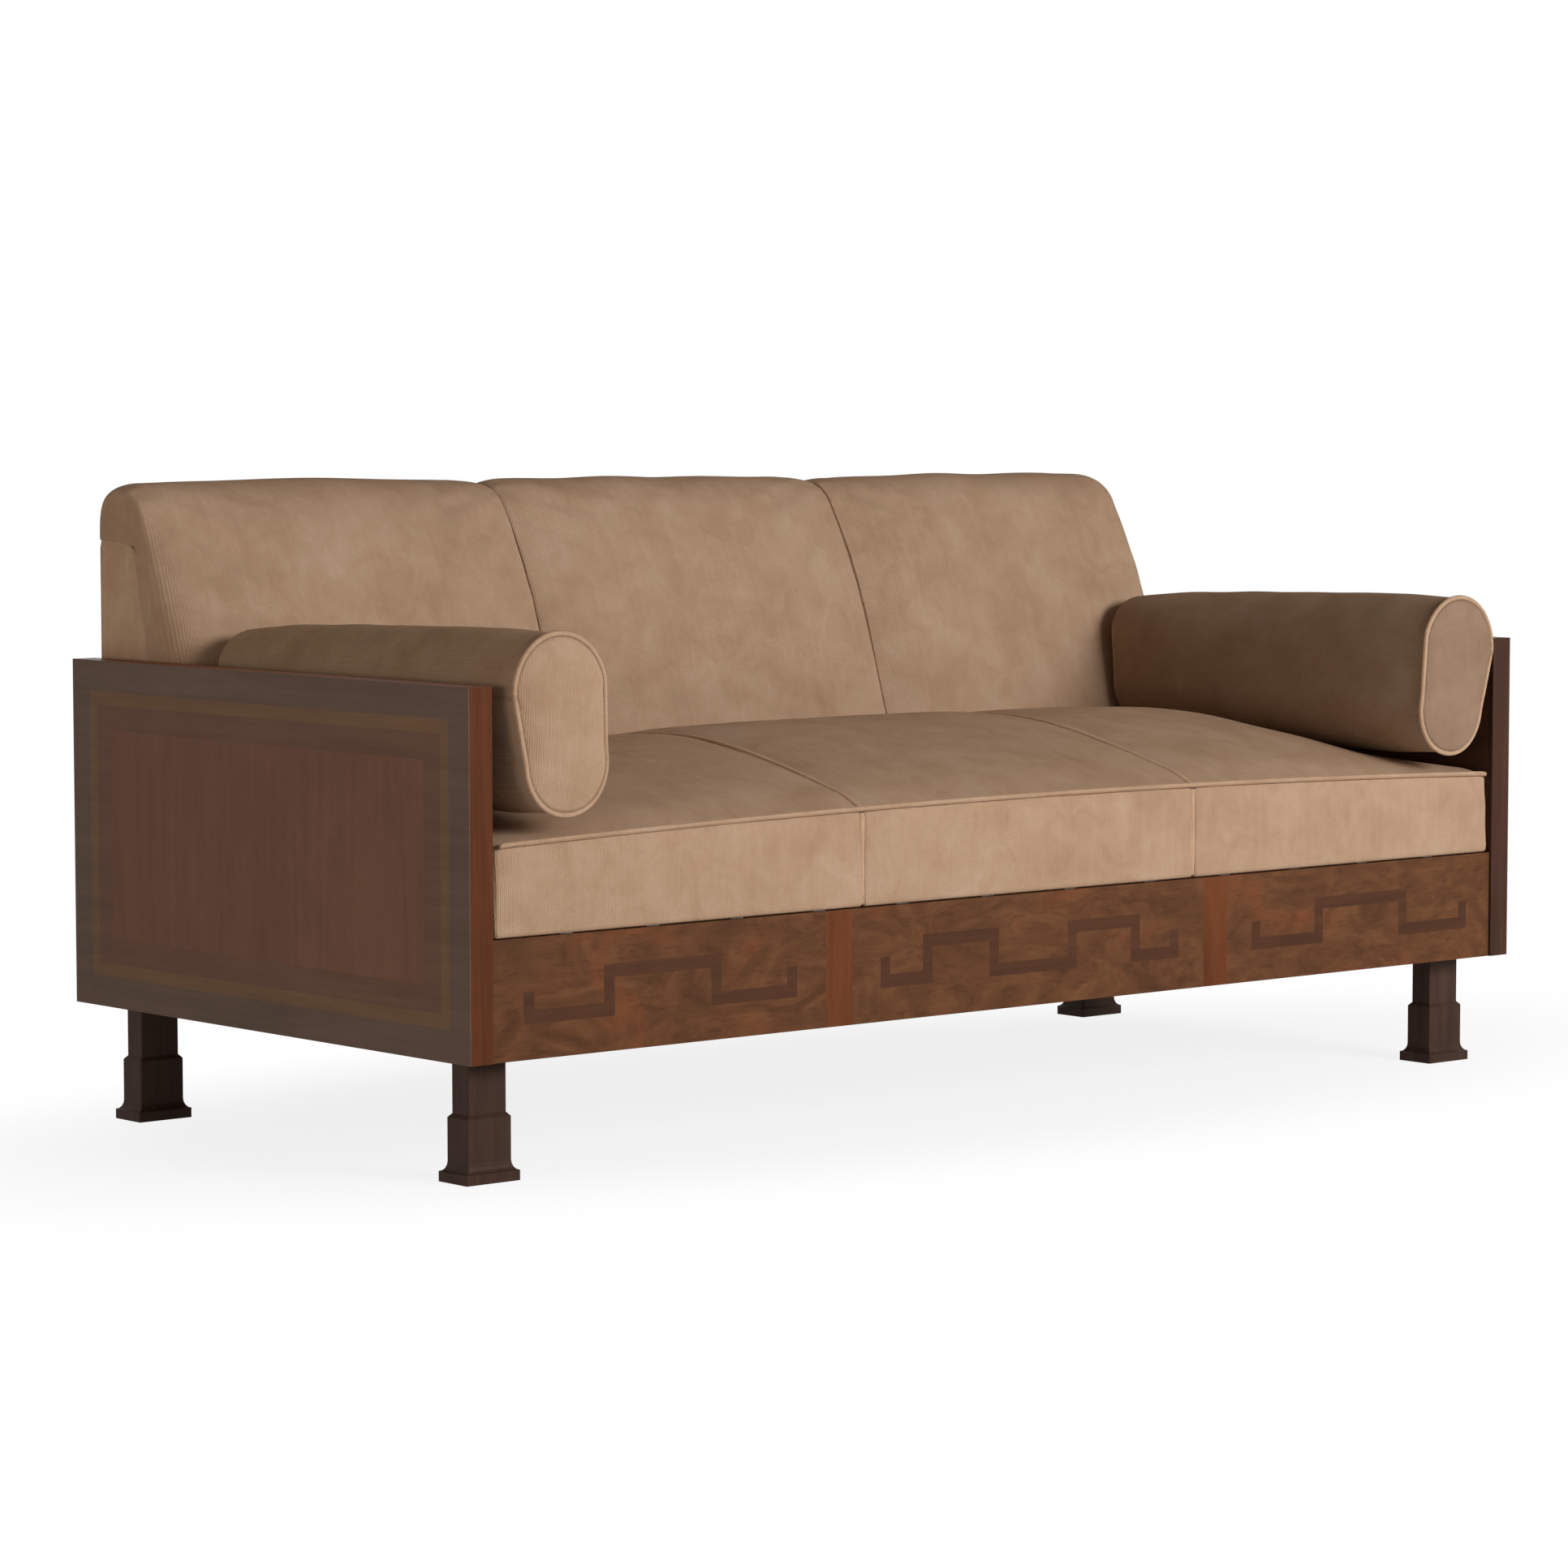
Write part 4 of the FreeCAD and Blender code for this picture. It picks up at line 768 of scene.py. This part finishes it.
def make_bolster(side, sign, tilt, shade, cap_painted_shade):
    """A loose bolster: the egg outline along Y, drawn in at its end seams with the square of the nearness,
    with domed caps. The rear end leans with the back by a share of its slope, the upper half falls to the
    rear in line with y, and the front end sags with the square of its way past the seat's crest."""
    low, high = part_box(side + "_bolster_cover")
    centre_z = (low.z + high.z) / 2
    front_y = low.y
    rear_height = centre_z - rail_top - bolster_half_height * (1 - bolster_lean)
    rear_y = back_front + rear_height * back_slope - bolster_slack
    u, w, even = egg(bolster_around, math.radians(tilt))
    seam_front, seam_rear = front_y + bolster_bulge, rear_y - bolster_rear_bulge
    body_y = np.linspace(seam_front, seam_rear, bolster_rings)
    to_end = np.minimum(body_y - seam_front, seam_rear - body_y)
    draw = bolster_draw * np.clip(1 - to_end / bolster_fade, 0, 1) ** 2 + bolster_slack
    cap_turn = np.linspace(0, math.pi / 2, cap_rings)[1:-1]
    cap_size, cap_depth = np.sin(cap_turn), np.cos(cap_turn)
    y = np.concatenate([seam_front - bolster_bulge * cap_depth, body_y,
                        (seam_rear + bolster_rear_bulge * cap_depth)[::-1]])
    scale = np.concatenate([cap_size, np.ones_like(body_y), cap_size[::-1]])[:, None]
    draw = np.concatenate([np.full_like(cap_size, draw[0]), draw, np.full_like(cap_size, draw[-1])])[:, None]
    lean = np.clip((y - seat_crest) / (seam_rear - seat_crest), 0, 1)[:, None]
    sag = bolster_sag * np.clip((seat_crest - y) / (seat_crest - front_y), 0, 1)[:, None] ** 2
    ring_u = scale * (1 - draw / bolster_top_radius) * u
    ring_w = scale * (1 - draw / bolster_half_height) * w
    ring_y = y[:, None] + lean * ring_w * back_slope * bolster_lean
    fall = np.clip((y - front_y) / (rear_y - front_y), 0, 1)[:, None]
    ring_w = ring_w - bolster_rear_drop * fall * np.clip(ring_w / bolster_half_height, 0, 1) + bolster_lift
    cloud = bolster_cloud * waves(y[:, None], even[None, :], bolster_cloud_size, 31)
    ring_w = ring_w - sag + cloud * (scale > 0.9)
    rings = np.stack([sign * (bolster_x + ring_u), ring_y, centre_z + ring_w], axis=-1)
    caps = len(cap_size)
    uv = np.stack(np.broadcast_arrays(even[None, :], y[:, None]), axis=-1).copy()
    flat = np.stack([ring_u, ring_w], axis=-1)
    uv[:caps], uv[-caps:] = flat[:caps], flat[-caps:]
    uv = uv.reshape(-1, 2)
    points, faces = skin(rings)
    body = side + "_bolster"
    stands_for = [side + "_bolster_cover", side + "_bolster_filling"]
    piece = make_piece(side + "_bolster", points, outward(points, faces), "velvet", body, stands_for,
                       np.concatenate([uv, np.zeros((2, 2))]))
    # The bolster's velvet is darker on its side and, on the right, on its front cap: painted shade.
    piece.data.materials[0] = velvet(side + "_bolster_velvet_painted_shade", shade, (seam_front, cap_painted_shade))
    held = np.zeros(rings.shape[:2], bool)
    held[caps] = True
    held[-caps - 1] = True
    under = np.clip((rings[..., 2] - centre_z + bolster_rest) / bolster_rest_reach, 0, 1)
    limit = np.append(under.ravel(), [1.0, 1.0])
    swell(piece, np.append(held.ravel(), [False, False]), bolster_swell, limit)
    smooth_once(piece)
    loops = []
    for place, out in ((caps, front_welt_size), (-caps - 1, rear_welt_size)):
        ring = rings[place].copy()
        middle = ring.mean(axis=0)
        loops.append(middle + (ring - middle) * out)
    welt(side + "_bolster_piping", loops, welt_radius, body, [side + "_bolster_welts"], True)


def welt(name, paths, radius, body, stands_for, closed=False):
    """Piping: a ring of points, radius times cosine and sine, square to each path and carried along it."""
    turn = np.linspace(0, 2 * math.pi, welt_sides, endpoint=False)
    forms = []
    for path in paths:
        ahead = np.roll(path, -1, axis=0) - np.roll(path, 1, axis=0)
        if not closed:
            ahead[0], ahead[-1] = path[1] - path[0], path[-1] - path[-2]
        ahead = ahead / np.linalg.norm(ahead, axis=1, keepdims=True)
        upright = abs(ahead[0, 2]) > 0.9
        guide = np.array([0.0, 1.0, 0.0]) if closed or upright else np.array([0.0, 0.0, 1.0])
        side = np.cross(ahead, guide)
        side = side / np.linalg.norm(side, axis=1, keepdims=True)
        up = np.cross(side, ahead)
        rings = path[:, None, :] + radius * (np.cos(turn)[None, :, None] * side[:, None, :]
                                             + np.sin(turn)[None, :, None] * up[:, None, :])
        length = np.concatenate([[0.0], np.cumsum(np.linalg.norm(np.diff(path, axis=0), axis=1))])
        threads = np.broadcast_arrays(length[:, None], radius * turn[None, :])
        threads = np.stack(threads, axis=-1).reshape(-1, 2)
        points, faces = skin(rings)
        if closed:
            index = np.arange(rings.size // 3).reshape(rings.shape[:2])
            quads = [index, np.roll(index, -1, axis=1), np.roll(index, (-1, -1), axis=(0, 1)),
                     np.roll(index, -1, axis=0)]
            points, faces = points[:-2], np.stack(quads, axis=-1).reshape(-1, 4).tolist()
        else:
            threads = np.concatenate([threads, threads[[0, -1]]])
        forms.append((points, outward(points - points.mean(axis=0), faces), threads))
    points, faces, uv = merged(forms)
    piece = make_piece(name, points, faces, "velvet_welt", body, stands_for, uv)
    smooth_once(piece)
    return piece


def make_outside_back():
    """The outside back: thin padded velvet, its face bowed out by the root of a sine of height, with slow
    waves."""
    low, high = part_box("outside_back")
    x = np.linspace(low.x, high.x, cover_columns)
    share = np.linspace(0, 1, cover_rows)
    bow = cover_bow * np.sin(math.pi * share) ** 0.5 * (1 - (x[:, None] / high.x) ** 8)
    z = low.z + (high.z - low.z) * share[None, :] + 0 * bow
    bow = bow + cover_cloud * waves(x[:, None], z, cover_cloud_size, 44) * np.sin(math.pi * share)
    outer = np.stack([high.y - cover_inset + bow, z], axis=-1)
    inner = np.stack([0 * bow + low.y + seat_gap, z], axis=-1)[:, ::-1]
    points, faces, uv, _ = closed_form(x, np.concatenate([outer, inner], axis=1), 1)
    piece = make_piece("outside_back_cloth", points, faces, "velvet", "sofa", ["outside_back"], uv)
    smooth_once(piece)
    return piece


def make_back_ends():
    """Thin padded velvet on both ends of the back frame, with rounded edges."""
    low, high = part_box("back_end_covers")
    front = pad_plane + end_cover_inset
    corners = np.array([[front, low.z], [front + (high.z - low.z) * rib_slope, high.z],
                        [high.y, high.z], [high.y, low.z]])
    outline = run(corners, np.roll(corners, -1, axis=0), 24).reshape(-1, 2)
    middle = outline.mean(axis=0)
    depth, size = np.array(end_cover_steps).T
    profile = middle + (outline - middle) * size[:, None, None]
    forms = [closed_form(sign * (high.x - depth), profile, 6)[:3] for sign in (-1, 1)]
    points, faces, uv = merged(forms)
    piece = make_piece("back_end_cloths", points, faces, "velvet", "sofa", ["back_end_covers"], uv)
    # The end cloths take a lighter copy of the velvet: painted light, as if lit from the left.
    piece.data.materials[0] = velvet("end_velvet_painted_light", end_painted_light)
    return piece


def make_dust_cover():
    """Black lining under the seat: a flat sheet that sags by a product of two parabolas, cut out at the
    legs."""
    low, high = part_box("dust_cover")
    legs = [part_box(end + "_" + side + "_leg") for end in ("front", "rear") for side in ("left", "right")]
    marks_x = sorted([box[i].x + leg_step * (1 - 2 * i) for box in legs for i in (0, 1)])
    marks_y = sorted([box[i].y + leg_step * (1 - 2 * i) for box in legs for i in (0, 1)])
    x = np.unique(np.round(np.concatenate([np.linspace(low.x, high.x, 60), marks_x]), 5))
    y = np.unique(np.round(np.concatenate([np.linspace(low.y, high.y, 32), marks_y]), 5))
    grid_x, grid_y = np.meshgrid(x, y, indexing="ij")
    across = (grid_y - (low.y + high.y) / 2) / (high.y - low.y) * 2
    sag = lining_sag * (1 - (grid_x / high.x) ** 2) * (1 - across ** 2)
    points = np.stack([grid_x, grid_y, (low.z + high.z) / 2 - sag], axis=-1).reshape(-1, 3)
    index = np.arange(len(points)).reshape(grid_x.shape)
    quads = np.stack([index[:-1, :-1], index[1:, :-1], index[1:, 1:], index[:-1, 1:]], axis=-1)
    middle_x = (x[:-1, None] + x[1:, None]) / 2
    middle_y = (y[None, :-1] + y[None, 1:]) / 2
    keep = np.ones(quads.shape[:2], bool)
    inset = leg_step - seat_gap
    for first, last in legs:
        keep &= ~((middle_x > first.x + inset) & (middle_x < last.x - inset)
                  & (middle_y > first.y + inset) & (middle_y < last.y - inset))
    piece = make_piece("dust_cover_cloth", points, quads[keep].tolist(), "lining", "sofa", ["dust_cover"],
                       points[:, :2])
    thickness = piece.modifiers.new("thickness", "SOLIDIFY")
    thickness.thickness = lining_thickness
    thickness.offset = 0.0
    return piece


def seen_directly(tree):
    """1 on rays from the camera and on rays that a glossy or clear surface sends on, 0 on lighting rays."""
    rays = tree.nodes.new("ShaderNodeLightPath")
    total = rays.outputs["Is Camera Ray"]
    for name in ("Is Glossy Ray", "Is Transmission Ray"):
        add = tree.nodes.new("ShaderNodeMath")
        add.operation = "ADD"
        add.use_clamp = True
        tree.links.new(total, add.inputs[0])
        tree.links.new(rays.outputs[name], add.inputs[1])
        total = add.outputs[0]
    return total


def lamp(name, place, aim, size, power, tint=(1.0, 1.0, 1.0)):
    """A soft square lamp that points at a place."""
    data = bpy.data.lights.new(name, "AREA")
    data.shape = "RECTANGLE"
    data.size, data.size_y = size
    data.energy = power
    data.color = tint
    light = bpy.data.objects.new(name, data)
    light.location = place
    light.rotation_euler = (Vector(aim) - Vector(place)).to_track_quat("-Z", "Y").to_euler()
    scene.collection.objects.link(light)


def sections(end):
    """Left and right X of the three sewn sections between two ends."""
    return {"left": (-end, -seam_x), "centre": (-seam_x, seam_x), "right": (seam_x, end)}


# Seat
for place, (x0, x1) in sections(seat_end).items():
    stands_for = ["seat_cover_" + place] + (["seat_filling"] if place == "centre" else [])
    make_seat_section("seat_" + place, x0 + seat_gap, x1 - seat_gap, stands_for)
x = np.linspace(front_welt_inset - seat_end, seat_end - front_welt_inset, front_welt_rings)
y = np.full_like(x, seat_front - front_welt_out)
front_path = np.stack([x, y, seat_edge(x) + front_welt_up], axis=-1)
welt("seat_front_piping", [front_path], welt_radius, "sofa", ["seat_front_welt"])
seam_paths = []
for sign in (-1, 1):
    rear = float(seat_rear_top(np.array([sign * seam_x]))[0])
    y = np.linspace(seat_front + seam_welt_start, rear - seam_welt_end, seam_welt_rings)
    x = np.full_like(y, sign * seam_x)
    seam_paths.append(np.stack([x, y, seat_top(x, y) - seam_welt_depth], axis=-1))
    z = np.linspace(seat_edge(seam_x) - boxing_welt_inset, seat_base + boxing_welt_inset, boxing_welt_rings)
    y = np.full_like(z, seat_front + boxing_welt_depth)
    seam_paths.append(np.stack([np.full_like(z, sign * seam_x), y, z], axis=-1))
seam_piping = welt("seat_seam_piping", seam_paths, seam_welt_radius, "sofa", ["seat_seam_welts"])
# The seam cords take a lighter copy of the velvet: a painted highlight on flanks that the lamps leave in
# shade.
seam_piping.data.materials[0] = velvet("seam_velvet_painted_highlight", seam_painted_highlight)

# Back
for place, (x0, x1) in sections(back_end).items():
    stands_for = ["back_cover_" + place] + (["back_fillings"] if place == "centre" else [])
    make_back_section("back_" + place, x0 + back_gap, x1 - back_gap, stands_for)
make_outside_back()
make_back_ends()
make_dust_cover()

# Bolsters
for side, sign, tilt, shade, cap_painted_shade in bolsters:
    make_bolster(side, sign, tilt, shade, cap_painted_shade)

# Floor: near the sofa a share of it stays plain, so that it takes the shadow
floor_half = 30.0
floor_finish = Finish("pale_floor")
distance = floor_finish.node("ShaderNodeVectorMath", {"operation": "LENGTH"},
                             {0: floor_finish.place((0.75, 1.6, 0))}, out="Value")
floor_finish.finish(Base_Color=(0.93, 0.93, 0.93, 1.0), Roughness=0.9)
glow = floor_finish.node("ShaderNodeEmission", None, {"Color": (1, 1, 1, 1), "Strength": 1.0})
path = Value(floor_finish, seen_directly(floor_finish.tree))
output = floor_finish.tree.nodes["Material Output"]
share = (0.84 + 0.16 * distance.band(0.66, 1.35)) * path
plain = Value(floor_finish, floor_finish.shader.outputs[0])
blend = floor_finish.node("ShaderNodeMixShader", None, {0: share, 1: plain, 2: glow})
floor_finish.feed(output.inputs["Surface"], blend)
floor_mesh = bpy.data.meshes.new("floor")
floor_corners = [(x, y, 0) for x, y in ((-1, -1), (1, -1), (1, 1), (-1, 1))]
floor_corners = (np.array(floor_corners) * floor_half).tolist()
floor_mesh.from_pydata(floor_corners, [], [(0, 1, 2, 3)])
floor_mesh.materials.append(floor_finish.material)
floor = bpy.data.objects.new("floor", floor_mesh)
scene.collection.objects.link(floor)

# Light and camera
world = bpy.data.worlds.new("studio")
scene.world = world
world.use_nodes = True
tree = world.node_tree
background = tree.nodes["Background"]
background.inputs["Color"].default_value = (1.0, 0.86, 0.72, 1.0)
background.inputs["Strength"].default_value = 0.13
bright = tree.nodes.new("ShaderNodeBackground")
bright.inputs["Color"].default_value = (1.0, 1.0, 1.0, 1.0)
bright.inputs["Strength"].default_value = 1.0
choose = tree.nodes.new("ShaderNodeMixShader")
tree.links.new(seen_directly(tree), choose.inputs[0])
tree.links.new(background.outputs[0], choose.inputs[1])
tree.links.new(bright.outputs[0], choose.inputs[2])
tree.links.new(choose.outputs[0], tree.nodes["World Output"].inputs["Surface"])

lamp("key", (1.5, -5.6, 2.3), (0.0, 0.0, 0.4), (2.8, 1.8), 270.0)
lamp("fill", (-5.2, -0.7, 0.75), (0.0, 0.0, 0.4), (2.4, 0.9), 40.0, (1.0, 0.93, 0.85))
lamp("rear", (1.2, 5.5, 0.75), (0.0, 0.4, 0.4), (2.6, 0.9), 60.0)

camera = bpy.data.objects.new("camera", bpy.data.cameras.new("camera"))
camera.data.sensor_width = 36.0
camera.data.lens = 117.1
camera.data.shift_x = -0.0231
camera.data.shift_y = 0.0226
camera.data.clip_end = 200.0
camera.location = (-4.686, -5.393, 0.987)
aim = Vector((0.0, 0.013, 0.380)) - camera.location
camera.rotation_euler = aim.to_track_quat("-Z", "Y").to_euler()
scene.collection.objects.link(camera)
scene.camera = camera
scene.view_settings.view_transform = "Standard"
